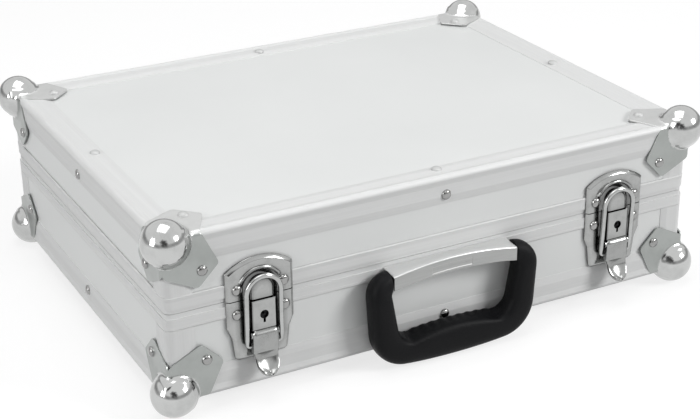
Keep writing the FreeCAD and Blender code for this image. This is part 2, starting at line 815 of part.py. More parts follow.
def strike_plate_form():
    """The base's half: a waisted plate with two ears that carry the lever."""
    item = body("strike_plate_form")
    outline = [
        ("-latch_half_width", "-parting_gap / 2"),
        ("-latch_half_width", "-strike_shoulder"),
        ("-strike_waist_half", "-strike_waist_drop"),
        ("-strike_foot_half", "strike_foot_radius - strike_foot_drop"),
        ("strike_foot_radius - strike_foot_half", "-strike_foot_drop"),
        ("strike_foot_half - strike_foot_radius", "-strike_foot_drop"),
        ("strike_foot_half", "strike_foot_radius - strike_foot_drop"),
        ("strike_waist_half", "-strike_waist_drop"),
        ("latch_half_width", "-strike_shoulder"),
        ("latch_half_width", "-parting_gap / 2"),
    ]
    plate = pad(item, "XZ_Plane", [outline], "latch_plate")
    front = -measure("latch_plate")
    top = -measure("parting_gap") / 2

    def rim(edge):
        return at_plane(edge, "Y", front) and not at_plane(edge, "Z", top)

    soften(item, plate, "Chamfer", edges_where(plate, rim), Size="latch_bevel")
    reach = f"-{LEVER_OUT}"
    for side in (-1, 1):
        near = f"{side} * (lever_half_width + ear_gap + ear_thickness / 2) - ear_thickness / 2"
        ear = [
            ("-latch_plate / 2", f"ear_radius - {LEVER_DROP}"),
            (reach, f"ear_radius - {LEVER_DROP}", "ear_radius", True),
            (f"{reach} - ear_radius", f"-{LEVER_DROP}", "ear_radius", True),
            (reach, f"-ear_radius - {LEVER_DROP}"),
            ("-latch_plate / 2", f"-ear_radius - {LEVER_DROP}"),
        ]
        hole = (reach, f"-{LEVER_DROP}", "lever_pin_radius")
        pad(item, "YZ_Plane", [ear, hole], "ear_thickness", near)
    return item


def lock_housing_form():
    """The block between plate and bail, with a keyhole in its face and the rotor's room behind."""
    item = body("lock_housing_form")
    face = rectangle("-lock_half_width", "-lock_bottom_drop", "lock_half_width", "-parting_gap")
    block = pad(item, "XZ_Plane", [face], "lock_rise", "latch_plate")
    front = -measure(LOCK_OUT)

    def rim(edge):
        return at_plane(edge, "Y", front)

    soften(item, block, "Chamfer", edges_where(block, rim), Size="lock_bevel")
    centre = "-keyhole_drop"
    pocket(item, "XZ_Plane", [("0", centre, "keyhole_radius")], "lock_rise + overrun", "latch_plate")
    slot = rectangle(
        "-keyhole_slot_width / 2", "-keyhole_drop - keyhole_slot_reach", "keyhole_slot_width / 2", centre
    )
    pocket(item, "XZ_Plane", [slot], "lock_rise + overrun", "latch_plate")
    room = f"{LOCK_ROOM_OUT} - latch_plate"
    pocket(item, "XZ_Plane", [("0", centre, "rotor_radius + running_gap")], room, "latch_plate")
    pocket(item, "XZ_Plane", [("0", centre, "cam_room_radius")], "cam_room_depth", "latch_plate")
    return item


def lock_rotor_form():
    """The lock's turning core: a disc with the key's pin in front and the cam behind."""
    item = body("lock_rotor_form")
    front = f"({LOCK_ROOM_OUT} - rotor_end_gap)"
    back = f"({front} - rotor_thickness)"
    pad(item, "XZ_Plane", [("0", "0", "rotor_radius")], "rotor_thickness", back)
    pad(item, "XZ_Plane", [("0", "0", "rotor_pin_radius")], "rotor_end_gap + rotor_pin_length", front)
    cam = rectangle("-cam_width / 2", "-cam_width / 2", "cam_width / 2", "cam_reach")
    start = "(latch_plate + rotor_end_gap)"
    pad(item, "XZ_Plane", [cam], f"{back} - {start}", start)
    return item


def lever_form():
    """The lever in its pivot's frame: rolled barrel, face plate, cheeks for the bail and finger tongue."""
    item = body("lever_form")
    front = "-lever_barrel_radius"
    step = f"({front} + lever_crease_step)"
    face_back = f"({front} + lever_sheet)"
    tip_out = f"({front} - tongue_flare)"
    side = [
        ("lever_cheek_back", "0"),
        (front, "0"),
        (front, "-lever_crease_drop"),
        (step, "-lever_crease_drop - lever_crease_step", "tongue_curve_radius", False),
        (tip_out, "-tongue_drop"),
        (f"{tip_out} + tongue_thickness", "-tongue_drop - tongue_thickness / 2", "tongue_curve_radius", True),
        (f"{step} + lever_sheet", "-lever_crease_drop - lever_sheet"),
        ("lever_cheek_back", "-lever_crease_drop - lever_sheet / 2"),
    ]
    pad(item, "YZ_Plane", [side], "2 * lever_half_width", middle=True)
    inner = rectangle(face_back, "-lever_crease_drop + lever_sheet / 2", "lever_cheek_back + overrun", "0")
    pocket(item, "YZ_Plane", [inner], "2 * (lever_half_width - lever_cheek)", middle=True)
    pad(item, "YZ_Plane", [("0", "0", "lever_barrel_radius")], "2 * lever_half_width", middle=True)
    bore = ("0", "0", "lever_pin_radius + running_gap")
    bail_bore = ("0", "-bail_drop", "bail_pin_radius + running_gap")
    last = pocket(item, "YZ_Plane", [bore, bail_bore], "2 * lever_half_width + overrun", middle=True)
    slack = measure("running_gap")
    tip = -measure("tongue_drop")
    half = measure("lever_half_width")

    def tip_corner(edge):
        bounds = edge.BoundBox
        outer = abs(abs(bounds.XMin) - half) < slack and bounds.XLength < slack
        return outer and bounds.ZMax < tip + slack

    soften(item, last, "Fillet", edges_where(last, tip_corner), Radius="tongue_tip_radius")
    return item


def bail_form():
    """The bail in its pivot's frame: a wire arch on two legs with pins bent in at the bottom."""
    item = body("bail_form")
    path = item.newObject("Sketcher::SketchObject", "bail_path")
    plane = next(part for part in item.Origin.OriginFeatures if part.Role == "XZ_Plane")
    path.AttachmentSupport = [(plane, "")]
    path.MapMode = "FlatFace"
    half, height, crown = "bail_half_spread", BAIL_CENTRE, "bail_height"
    spots = [(f"-{half}", "0"), (f"-{half}", height), ("0", crown), (half, height), (half, "0")]
    spans = [Vector(measure(x), measure(y), 0) for x, y in spots]
    centre = Vector(0, measure(height), 0)
    circle = Part.Circle(centre, Vector(0, 0, 1), measure(half))
    path.addGeometry(Part.LineSegment(spans[0], spans[1]), False)
    path.addGeometry(Part.ArcOfCircle(circle, math.pi / 2, math.pi), False)
    path.addGeometry(Part.ArcOfCircle(circle, 0, math.pi / 2), False)
    path.addGeometry(Part.LineSegment(spans[3], spans[4]), False)
    for link in ((0, 2, 1, 2), (1, 1, 2, 2), (2, 1, 3, 1)):
        path.addConstraint(Sketcher.Constraint("Coincident", *link))
    for (piece, end), (x, y), spot in zip(((0, 1), (0, 2), (1, 1), (3, 1), (3, 2)), spots, spans):
        hold(path, "DistanceX", (-1, 1, piece, end), x, spot.x)
        hold(path, "DistanceY", (-1, 1, piece, end), y, spot.y)
    for piece in (1, 2):
        hold(path, "Radius", (piece,), half, measure(half))
    section = sketch_on(item, "XY_Plane", [(f"-{half}", "0", "bail_wire_radius")])
    pipe = item.newObject("PartDesign::AdditivePipe", "bail_wire")
    pipe.Profile = section
    pipe.Spine = (path, [f"Edge{number}" for number in range(1, 5)])
    for side in (-1, 1):
        foot = [(f"{side} * {half}", "0", "bail_wire_radius")]
        pad(item, "XZ_Plane", foot, "2 * bail_wire_radius", middle=True)
        near = f"{side} * ({half} + lever_half_width - lever_cheek) / 2 - ({half} - lever_half_width + lever_cheek) / 2"
        pin = [("0", "0", "bail_pin_radius")]
        pad(item, "YZ_Plane", pin, f"{half} - lever_half_width + lever_cheek", near)
    return item


def lever_pin_form():
    item = body("lever_pin_form")
    length = "2 * (lever_half_width + ear_gap + ear_thickness)"
    pad(item, "YZ_Plane", [("0", "0", "lever_pin_radius")], length, middle=True)
    return item


def latches():
    forms = {
        "catch_plate": (catch_plate_form(), "0", "parting_height"),
        "strike_plate": (strike_plate_form(), "0", "parting_height"),
        "lock_housing": (lock_housing_form(), "0", "parting_height"),
        "lock_rotor": (lock_rotor_form(), "0", "parting_height - keyhole_drop"),
        "latch_lever": (lever_form(), f"-{LEVER_OUT}", f"parting_height - {LEVER_DROP}"),
        "latch_bail": (bail_form(), f"-{LEVER_OUT}", f"parting_height - {LEVER_DROP} - bail_drop"),
        "lever_pin": (lever_pin_form(), f"-{LEVER_OUT}", f"parting_height - {LEVER_DROP}"),
    }
    for side, x in (("left", f"-{LATCH_X}"), ("right", LATCH_X)):
        for name, (form, y, z) in forms.items():
            lean = Rotation(Vector(1, 0, 0), measure("bail_lean")) if name == "latch_bail" else Rotation()
            keep(repeat(f"{side}_{name}", form, x, y, z, lean))


latches()


# Carrying handle: a folded bracket with two lugs, pivot pins and the moulded handle


def arched(bottom_end, bottom_middle, top_end, top_middle):
    """An arched strip across the bracket, from half chords and rises."""
    def radius(end, middle):
        rise = f"({middle} - {end})"
        return f"(bracket_half_length ^ 2 + {rise} ^ 2) / (2 * {rise})"
    return [
        ("bracket_half_length", bottom_end),
        ("bracket_half_length", top_end, radius(top_end, top_middle), True),
        ("-bracket_half_length", top_end),
        ("-bracket_half_length", bottom_end, radius(bottom_end, bottom_middle), False),
    ]


def bracket():
    item = body("handle_bracket")
    back = rectangle("-bracket_half_length", "bracket_back_bottom", "bracket_half_length", "bracket_back_top")
    pad(item, "XZ_Plane", [back], "bracket_sheet")
    face = arched("bracket_front_bottom", "bracket_arch_bottom", "bracket_front_top", "bracket_crown")
    pad(item, "XZ_Plane", [face], "bracket_sheet", "bracket_depth - bracket_sheet")
    cover = [
        ("0", "bracket_back_top - bracket_sheet"),
        ("-bracket_depth", "bracket_front_top - bracket_sheet"),
        ("-bracket_depth", "bracket_front_top"),
        ("0", "bracket_back_top"),
    ]
    pad(item, "YZ_Plane", [cover], "2 * bracket_half_length", middle=True)
    lug = [
        ("-bracket_sheet / 2", "bracket_front_bottom"),
        ("bracket_sheet / 2 - bracket_depth", "bracket_front_bottom"),
        ("bracket_sheet / 2 - bracket_depth", "bracket_front_top - bracket_sheet / 2"),
        ("-bracket_sheet / 2", "bracket_back_top - bracket_sheet / 2"),
    ]
    hole = ("-handle_pivot_out", "handle_pivot_height", "handle_pin_radius")
    for side in (-1, 1):
        near = f"{side} * (bracket_half_length - bracket_lug_inset - bracket_lug / 2) - bracket_lug / 2"
        pad(item, "YZ_Plane", [lug, hole], "bracket_lug", near)
    return keep(place(item))


LEG_INNER = "(bracket_half_length + handle_end_gap)"
LEG_OUTER = f"({LEG_INNER} + handle_leg_width)"


def handle():
    """The moulded handle in its pivot's frame: legs, grip and two tangs inside the bracket's ends."""
    item = body("handle_grip")
    back = "(handle_leg_back - handle_pivot_out)"
    top = "handle_top_radius"
    grip_top = "(handle_grip_height - handle_reach)"
    hump = "((handle_opening_half ^ 2 + handle_grip_hump ^ 2) / (2 * handle_grip_hump))"
    foot = "(handle_sag - handle_reach)"
    sweep = "((handle_half_foot ^ 2 + handle_sag ^ 2) / (2 * handle_sag))"
    outer = [
        (f"-{LEG_OUTER}", top),
        ("-handle_half_foot", foot, sweep, True),
        ("handle_half_foot", foot),
        (LEG_OUTER, top),
        (LEG_INNER, top),
        (LEG_INNER, "-handle_shoulder_drop"),
        ("handle_opening_half", grip_top, hump, True),
        ("-handle_opening_half", grip_top),
        (f"-{LEG_INNER}", "-handle_shoulder_drop"),
        (f"-{LEG_INNER}", top),
    ]
    pad(item, "XZ_Plane", [outer], "handle_grip_depth", back)
    front = f"({back} + handle_grip_depth)"
    room = "(2 * handle_top_radius + handle_grip_depth)"
    shoulder = [
        ("-handle_top_radius", "0", "handle_top_radius", False),
        ("0", "handle_top_radius", "handle_top_radius", False),
        ("handle_top_radius", "0"),
        (room, "0"),
        (room, room),
        (f"-{room}", room),
        (f"-{room}", grip_top),
        (f"-{front}", grip_top),
    ]
    whole = pocket(item, "YZ_Plane", [shoulder], f"2 * ({LEG_OUTER} + overrun)", middle=True)
    slack = measure("running_gap")
    reach, opening = measure("handle_half_foot"), measure("handle_opening_half")
    low, high = measure(foot), measure(grip_top)

    def upright_at(x, z):
        def test(edge):
            middle = edge.CenterOfMass
            across = edge.BoundBox.XLength < slack and edge.BoundBox.ZLength < slack
            return across and abs(abs(middle.x) - x) < slack and abs(middle.z - z) < slack
        return test

    names = edges_where(whole, upright_at(reach, low))
    rounded = soften(item, whole, "Fillet", names, Radius="handle_corner_radius")
    names = edges_where(rounded, upright_at(opening, high))
    opened = soften(item, rounded, "Fillet", names, Radius="handle_opening_radius")
    bend = -measure("handle_shoulder_drop")
    names = edges_where(opened, upright_at(measure(LEG_INNER), bend))
    bent = soften(item, opened, "Fillet", names, Radius="handle_bend_radius")
    front_y, rear_y = -measure("handle_top_radius"), -measure(back)

    def long_edge(edge):
        """Runs along the legs and the grip at the front or the back, not across a leg."""
        bounds = edge.BoundBox
        at_front = bounds.YMax < front_y + slack
        at_side = at_front or bounds.YMin > rear_y - slack
        return at_side and bounds.ZLength > slack and bounds.ZMax < slack

    soften(item, bent, "Fillet", edges_where(bent, long_edge), Radius="handle_edge_radius")
    for side in (-1, 1):
        near = f"{side} * ({LEG_INNER} - handle_tang_length / 2 + overrun / 2) - (handle_tang_length + overrun) / 2"
        pad(item, "YZ_Plane", [("0", "0", "handle_tang_radius")], "handle_tang_length + overrun", near)
        inner = f"{side} * ({LEG_INNER} - (handle_tang_length - handle_pin_depth) / 2)"
        depth = "(handle_tang_length + handle_pin_depth + overrun)"
        bore = ("0", "0", "handle_pin_radius + running_gap")
        pocket(item, "YZ_Plane", [bore], depth, f"{inner} - {depth} / 2")
    return keep(place(item, "0", "-handle_pivot_out", "handle_pivot_height"))


def handle_pins():
    """Two steel pins, each from a lug of the bracket through the tang into the leg."""
    items = []
    for side in (-1, 1):
        item = doc.addObject("Part::Cylinder", f"handle_pin_{side}")
        inner = "(bracket_half_length - bracket_lug_inset - bracket_lug)"
        outer = f"({LEG_INNER} + handle_pin_depth - overrun)"
        bind(item, Radius="handle_pin_radius", Height=f"{outer} - {inner}")
        x = inner if side > 0 else f"-{outer}"
        items.append(place(item, x, "-handle_pivot_out", "handle_pivot_height", Rotation(Vector(0, 1, 0), 90)))
    return keep(group("handle_pivot_pins", items))


bracket()
handle()
handle_pins()

# Stop hinges. Their own frame: x from the hinge's middle, y and z from the pin's axis


def leaf_form(label, way):
    """A leaf with its knuckles: way is 1 for the lid's leaf and -1 for the base's."""
    item = body(label)
    plate = rectangle("-hinge_offset", f"{way} * hinge_gap", "hinge_sheet - hinge_offset", f"{way} * hinge_leaf_height")
    pad(item, "YZ_Plane", [plate], "2 * hinge_half_width", middle=True)
    pad(item, "YZ_Plane", [("0", "0", "hinge_barrel_radius")], "2 * hinge_half_width", middle=True)
    return item


def notch(item, way, near, length):
    """Clears a stretch of the leaf for the other leaf's knuckle."""
    shape = rectangle(
        "-hinge_offset - overrun", f"{-way} * hinge_notch", "hinge_offset + overrun", f"{way} * hinge_notch"
    )
    pocket(item, "YZ_Plane", [shape], length, near)


def lid_leaf_form():
    item = leaf_form("lid_leaf_form", 1)
    clear = "(hinge_knuckle_half + hinge_gap)"
    notch(item, 1, f"-{clear}", f"2 * {clear}")
    bore = [("0", "0", "hinge_pin_radius + running_gap")]
    pocket(item, "YZ_Plane", bore, "2 * hinge_half_width + overrun", middle=True)
    return item


def base_leaf_form():
    item = leaf_form("base_leaf_form", -1)
    length = "(hinge_half_width - hinge_knuckle_half + overrun)"
    notch(item, -1, "hinge_knuckle_half", length)
    notch(item, -1, f"-hinge_knuckle_half - {length}", length)
    stop = rectangle("0", "hinge_stop_rise - hinge_stop_thickness", "hinge_stop_reach", "hinge_stop_rise")
    pad(item, "YZ_Plane", [stop], "2 * hinge_stop_half", middle=True)
    bore = [("0", "0", "hinge_pin_radius")]
    pocket(item, "YZ_Plane", bore, "2 * hinge_half_width + overrun", middle=True)
    return item


def hinge_pin_form():
    item = body("hinge_pin_form")
    pad(item, "YZ_Plane", [("0", "0", "hinge_pin_radius")], "2 * hinge_half_width", middle=True)
    return item


def hinges():
    forms = {"lid_hinge_leaves": lid_leaf_form(), "base_hinge_leaves": base_leaf_form(), "hinge_pins": hinge_pin_form()}
    for label, form in forms.items():
        pair = [
            repeat(f"{label}_{number}", form, f"{side} * {HINGE_X}", "case_depth + hinge_offset", "parting_height")
            for number, side in enumerate((-1, 1))
        ]
        keep(group(label, pair))


hinges()


# Rivets of the latch plates and the hinge leaves


def fitting_rivets(shell, latch_spread, latch_z, hinge_z):
    places = []
    for side in (-1, 1):
        for end in (-1, 1):
            latch_x = f"{side} * {LATCH_X} + {end} * {latch_spread}"
            hinge_x = f"{side} * {HINGE_X} + {end} * hinge_rivet_spread"
            places.append(("front", latch_x, "-latch_plate", latch_z))
            places.append(("back", hinge_x, "case_depth + hinge_sheet", hinge_z))
    rivets(f"{shell}_fitting_rivets", places)


fitting_rivets(
    "lid", "catch_rivet_spread", "parting_height + catch_rivet_height", "parting_height + hinge_rivet_height"
)
fitting_rivets(
    "base", "strike_rivet_spread", "parting_height - strike_rivet_drop", "parting_height - hinge_rivet_height"
)

# Every object is sound and every node is a valid solid before anything is written
doc.recompute()
failed = [item.Label for item in doc.Objects if {"Invalid", "Error"} & set(item.State)]
if failed:
    raise RuntimeError(f"objects that failed: {failed}")
for node in nodes:
    if node.Shape.isNull() or not node.Shape.isValid() or not node.Shape.Solids:
        raise RuntimeError(f"{node.Label} is not a valid solid")

os.makedirs("parts", exist_ok=True)
for node in nodes:
    node.Shape.exportStep(f"parts/{node.Label}.step")
    solids = node.Shape.Solids
    volume = sum(solid.Volume for solid in solids)
    print(f"{node.Label}: {len(solids)} solid(s), {volume / 1000:.2f} cm3")
print(f"{len(nodes)} nodes")
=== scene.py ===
# %% [markdown]
# # A hard case for hand microphones
# The case is a flat box of pale laminated panels held by aluminium profiles, with pressed ball
# corners, two lever latches and a folding handle. The measured solids of the case come in first and
# stay where they are. Everything else in this lesson is fitted round them, so that nothing needs to
# be placed by eye.

# %% Load the solids of the case
import bpy, bmesh
import numpy as np
from math import acos, atan2, copysign, cos, pi, radians, sin, sqrt, tan
from mathutils import Matrix, Vector


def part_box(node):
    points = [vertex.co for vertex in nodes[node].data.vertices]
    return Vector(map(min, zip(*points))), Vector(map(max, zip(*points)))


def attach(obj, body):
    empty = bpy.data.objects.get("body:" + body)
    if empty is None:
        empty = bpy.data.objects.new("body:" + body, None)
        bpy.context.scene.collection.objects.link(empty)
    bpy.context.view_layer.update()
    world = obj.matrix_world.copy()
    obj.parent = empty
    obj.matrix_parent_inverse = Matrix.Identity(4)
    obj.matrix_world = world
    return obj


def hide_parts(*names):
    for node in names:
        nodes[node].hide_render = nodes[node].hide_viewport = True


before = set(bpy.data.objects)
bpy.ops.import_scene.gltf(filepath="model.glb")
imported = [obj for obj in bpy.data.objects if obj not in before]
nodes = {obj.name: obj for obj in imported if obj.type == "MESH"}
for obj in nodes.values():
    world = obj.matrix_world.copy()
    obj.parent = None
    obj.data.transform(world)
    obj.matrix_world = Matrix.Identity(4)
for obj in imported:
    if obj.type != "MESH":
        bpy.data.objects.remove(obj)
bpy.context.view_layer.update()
scene = bpy.context.scene

# %% [markdown]
# The lesson works in millimetres, because that is how a case maker thinks, and turns them into
# metres at the last moment. The main places are read from the solids: the faces of the case, the
# line where the lid parts from the base, and the axes on which the fittings turn.

# %% Read the main places in millimetres
MM = 0.001


def low(node):
    return np.array(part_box(node)[0]) / MM


def high(node):
    return np.array(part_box(node)[1]) / MM


def middle(node):
    return (low(node) + high(node)) / 2


(LEFT, FRONT, BELT), (RIGHT, BACK, PARTING) = low("base_closing_frame"), high("base_closing_frame")
FLOOR, TOP = low("base_front_edge")[2], high("lid_front_edge")[2]
MIDWAY = (FRONT + BACK) / 2
LATCHES = {side: middle(side + "_lock_housing")[0] for side in ("left", "right")}
LEVER_AXIS, HANDLE_AXIS = middle("left_lever_pin")[1:], middle("handle_pivot_pins")[1:]
print("case", round(RIGHT - LEFT, 1), round(BACK - FRONT, 1), round(TOP - FLOOR, 1))

# %% [markdown]
# ## Camera
# The photograph looks down on the case from its front left. The place of the camera was worked out
# from the straight edges of the case, so a plain lens without any shift gives the same picture.

# %% Place the camera
view = bpy.data.cameras.new("case_view")
view.sensor_fit = "HORIZONTAL"
view.sensor_width = 36
view.lens = 81.72
view.clip_end = 20
camera = bpy.data.objects.new("case_view", view)
scene.collection.objects.link(camera)
camera.matrix_world = Matrix((
    (0.88408, 0.20227, -0.42130, -0.48407),
    (-0.46719, 0.35993, -0.80758, MM * FRONT - 0.79496),
    (-0.01171, 0.91079, 0.41271, MM * FLOOR + 0.50953),
    (0, 0, 0, 1),
))
scene.camera = camera
scene.view_settings.view_transform = "Standard"
print("lens", view.lens, "mm, camera", round(camera.location.length, 2), "m from the case")

# %% [markdown]
# ## Floor and light
# A product photograph on white has two jobs for its light: the case must show its true colours, and
# the background must be white. One lamp level can't do both, so the light is set for the case, and
# the floor and the world are made white only where a camera, a shiny surface or a glass looks at
# them. The floor still takes a soft shadow, because a part of it stays an ordinary matt surface.


# %% Helpers for node trees
def empty_tree(owner):
    owner.use_nodes = True
    owner.node_tree.nodes.clear()
    return owner.node_tree


def add(tree, kind, inputs=None, **settings):
    """Adds a node, sets it up and links or sets its inputs."""
    node = tree.nodes.new(kind)
    for key, value in settings.items():
        setattr(node, key, value)
    for key, value in (inputs or {}).items():
        if isinstance(value, bpy.types.NodeSocket):
            tree.links.new(value, node.inputs[key])
        else:
            node.inputs[key].default_value = value
    return node


def maths(tree, operation, *values):
    return add(tree, "ShaderNodeMath", dict(enumerate(values)), operation=operation).outputs[0]


def vectors(tree, operation, *values):
    return add(tree, "ShaderNodeVectorMath", dict(enumerate(values)), operation=operation).outputs


def noise(tree, vector, scale, detail=2.0, roughness=0.5):
    values = {"Vector": vector, "Scale": scale, "Detail": detail, "Roughness": roughness}
    return add(tree, "ShaderNodeTexNoise", values).outputs["Fac"]


def fit_range(tree, value, from_low, from_high, to_low=0.0, to_high=1.0):
    values = {"Value": value, "From Min": from_low, "From Max": from_high, "To Min": to_low, "To Max": to_high}
    return add(tree, "ShaderNodeMapRange", values).outputs[0]


# %% Helpers for places and shaders
def place_on(tree):
    """The place on the object's own surface, which stays the same when the object moves."""
    return tree.nodes.new("ShaderNodeTexCoord").outputs["Object"]


def mixed(tree, share, first, second):
    """Two shaders: a share of 0 gives the first, 1 the second."""
    return add(tree, "ShaderNodeMixShader", {0: share, 1: first.outputs[0], 2: second.outputs[0]})


def surface(tree, shader, kind="Material"):
    add(tree, "ShaderNodeOutput" + kind, {"Surface": shader.outputs[0]})


def seen_directly(tree):
    """1 for camera, glossy and transmitted rays, 0 for the light that falls on the case."""
    path = tree.nodes.new("ShaderNodeLightPath")
    seen = maths(tree, "MAXIMUM", path.outputs["Is Camera Ray"], path.outputs["Is Glossy Ray"])
    return maths(tree, "MAXIMUM", seen, path.outputs["Is Transmission Ray"])


# %% World: white to look at, a soft sky for the case
world = bpy.data.worlds.new("studio")
scene.world = world
sky = empty_tree(world)
soft = add(sky, "ShaderNodeBackground", {"Color": (0.98, 0.99, 1, 1), "Strength": 0.27})
white = add(sky, "ShaderNodeBackground", {"Color": (1, 1, 1, 1), "Strength": 1.0})
surface(sky, mixed(sky, seen_directly(sky), soft, white), "World")
print("world ready")


# %% Floor: mostly white by itself, with a matt share that holds the shadow
def studio_piece(name, finish, points, faces):
    """A piece of the studio with an empty material. Gives the piece and its node tree."""
    mesh = bpy.data.meshes.new(name)
    mesh.from_pydata(points, [], faces)
    piece = bpy.data.objects.new(name, mesh)
    scene.collection.objects.link(piece)
    material = bpy.data.materials.new(finish)
    mesh.materials.append(material)
    return piece, empty_tree(material)


SQUARE = ((-1, -1), (1, -1), (1, 1), (-1, 1))
REACH = 6.0
corners = [(REACH * a, REACH * b, 0) for a, b in SQUARE]
floor, paper = studio_piece("studio_floor", "studio_paper", corners, [(0, 1, 2, 3)])
matt = add(paper, "ShaderNodeBsdfDiffuse", {"Color": (0.30, 0.30, 0.30, 1)})
glow = add(paper, "ShaderNodeEmission", {"Color": (1, 1, 1, 1), "Strength": 0.74})
both = add(paper, "ShaderNodeAddShader", {0: matt.outputs[0], 1: glow.outputs[0]})
plain = add(paper, "ShaderNodeBsdfDiffuse", {"Color": (0.42, 0.42, 0.42, 1)})
surface(paper, mixed(paper, seen_directly(paper), plain, both))
print("floor ready")

# %% Lamps: a large soft key from the right, a soft top light, a weak fill from the left
for name, place, size, watts in (
    ("key_lamp", (1.9, -1.9, 1.5), (1.0, 0.8), 50),
    ("top_lamp", (-0.1, 0.1, 1.9), (1.4, 1.2), 14.5),
    ("left_lamp", (-1.6, -0.4, 0.7), (0.6, 0.9), 10),
):
    lamp = bpy.data.lights.new(name, "AREA")
    lamp.shape = "RECTANGLE"
    lamp.size, lamp.size_y = size
    lamp.energy = watts
    holder = bpy.data.objects.new(name, lamp)
    scene.collection.objects.link(holder)
    holder.location = place
    holder.rotation_euler = (Vector((0, 0, 0.08)) - Vector(place)).to_track_quat("-Z", "Y").to_euler()
print("lamps ready")

# %% [markdown]
# Plated steel looks like whatever stands round it, and in an all-white studio it would turn white
# too. A real studio has walls, dark corners and a photographer. A dim ring far away and a dark patch
# with a ragged edge behind the camera stand in for them. Only shiny surfaces see these two.


# %% Arcs and circles
def arc(x, z, radius, first, last, count):
    """Points on an arc round (x, z)."""
    return [(x + radius * cos(a), z + radius * sin(a)) for a in np.linspace(first, last, count)]


def circle(radius, count):
    return arc(0, 0, radius, 0, 2 * pi, count + 1)[:-1]


# %% A dim ring, for reflections alone
def only_reflected(piece):
    piece.visible_camera = piece.visible_diffuse = piece.visible_shadow = False
    piece.visible_transmission = piece.visible_volume_scatter = False


sides, ring_radius, ring_top = 48, 3.4, 1.3
ring = [(x, y, z) for z in (0.05, ring_top) for x, y in circle(ring_radius, sides)]
quads = [(k, (k + 1) % sides, sides + (k + 1) % sides, sides + k) for k in range(sides)]
piece, room = studio_piece("studio_room", "studio_room_cloth", ring, quads)
only_reflected(piece)
place = place_on(room)
level = add(room, "ShaderNodeSeparateXYZ", {0: place}).outputs[2]
away = maths(room, "ABSOLUTE", maths(room, "SUBTRACT", maths(room, "DIVIDE", level, ring_top / 2), 1.0))
lighter_rims = maths(room, "MULTIPLY", maths(room, "POWER", away, 2.0), 0.6)
bright = maths(room, "ADD", maths(room, "MULTIPLY", noise(room, place, 0.7, 3.0), 0.8), lighter_rims)
dim = {"Color": (1, 1, 1, 1), "Strength": maths(room, "MINIMUM", bright, 1.0)}
surface(room, add(room, "ShaderNodeEmission", dim))
print("ring ready")

# %% A dark patch behind the camera, for reflections alone
heart = Vector((-0.67, -1.31, 0.72))
wide, tall = Vector((0.89, -0.455, 0)) * 0.7, Vector((0, 0, 0.7))
corners = [tuple(heart + wide * a + tall * b) for a, b in SQUARE]
piece, card = studio_piece("studio_card", "studio_card_cloth", corners, [(0, 1, 2, 3)])
only_reflected(piece)
place = place_on(card)
away = vectors(card, "LENGTH", vectors(card, "SUBTRACT", place, tuple(heart))[0])["Value"]
ragged = maths(card, "ADD", away, maths(card, "MULTIPLY", noise(card, place, 4.0, 3.0), 0.7))
clear = card.nodes.new("ShaderNodeBsdfTransparent")
dark = add(card, "ShaderNodeEmission", {"Color": (0.09, 0.09, 0.09, 1), "Strength": 1.0})
surface(card, mixed(card, fit_range(card, ragged, 0.60, 0.90, 1.0, 0.0), clear, dark))
print("dark patch ready")

# %% [markdown]
# ## Finishes
# Every finish starts from a few shared effects. Each effect is a node group with named inputs, built
# once: a fine grain, the drawn lines of an extruded profile, the handling marks of plated steel,
# and the dark lining inside the panels. A material then puts them together with its own values.


# %% Make a node group with named sockets
def effect(name, inputs, outputs):
    """A node group with named sockets. Every effect starts from a place and puts out numbers."""
    print("effect", name)
    group = bpy.data.node_groups.new(name, "ShaderNodeTree")
    for label, kind, value in [("Place", "Vector", None)] + inputs:
        socket = group.interface.new_socket(label, in_out="INPUT", socket_type="NodeSocket" + kind)
        if value is not None:
            socket.default_value = value
    for label in outputs:
        group.interface.new_socket(label, in_out="OUTPUT", socket_type="NodeSocketFloat")
    return group, group.nodes.new("NodeGroupInput").outputs, group.nodes.new("NodeGroupOutput").inputs


def shade(tree, dark, pale, amount):
    """Mixes two colours by a mask."""
    return add(tree, "ShaderNodeMix", {0: amount, 6: dark, 7: pale}, data_type="RGBA").outputs[2]


# %% Fine grain, for foil, moulded plastic and foam
grain, g_in, g_out = effect(
    "fine_grain", [("Size", "Float", 800.0), ("Cloud Size", "Float", 9.0)], ["Height", "Cloud"]
)
grain.links.new(noise(grain, g_in["Place"], g_in["Size"], 3.0, 0.6), g_out["Height"])
cloud = noise(grain, g_in["Place"], g_in["Cloud Size"], 3.0, 0.55)
grain.links.new(fit_range(grain, cloud, 0.3, 0.7), g_out["Cloud"])

# %% Drawn lines, for extruded profiles and brushed steel
drawn, d_in, d_out = effect("drawn_lines", [("Stretch", "Vector", (1.0, 1.0, 1.0))], ["Height", "Streak"])
stretched = vectors(drawn, "MULTIPLY", d_in["Place"], d_in["Stretch"])[0]
lines, broad = noise(drawn, stretched, 1.0, 4.0, 0.65), noise(drawn, stretched, 0.22)
drawn.links.new(lines, d_out["Height"])
streak = maths(drawn, "ADD", maths(drawn, "MULTIPLY", lines, 0.6), maths(drawn, "MULTIPLY", broad, 0.4))
drawn.links.new(fit_range(drawn, streak, 0.3, 0.7), d_out["Streak"])

# %% Handling marks, for plated steel
handled, h_in, h_out = effect("handling_marks", [("Size", "Float", 60.0)], ["Smudge", "Ripple"])
smudge = noise(handled, h_in["Place"], h_in["Size"], 4.0, 0.6)
handled.links.new(fit_range(handled, smudge, 0.45, 0.75), h_out["Smudge"])
ripple = noise(handled, h_in["Place"], maths(handled, "MULTIPLY", h_in["Size"], 0.9), 1.0, 0.4)
handled.links.new(ripple, h_out["Ripple"])

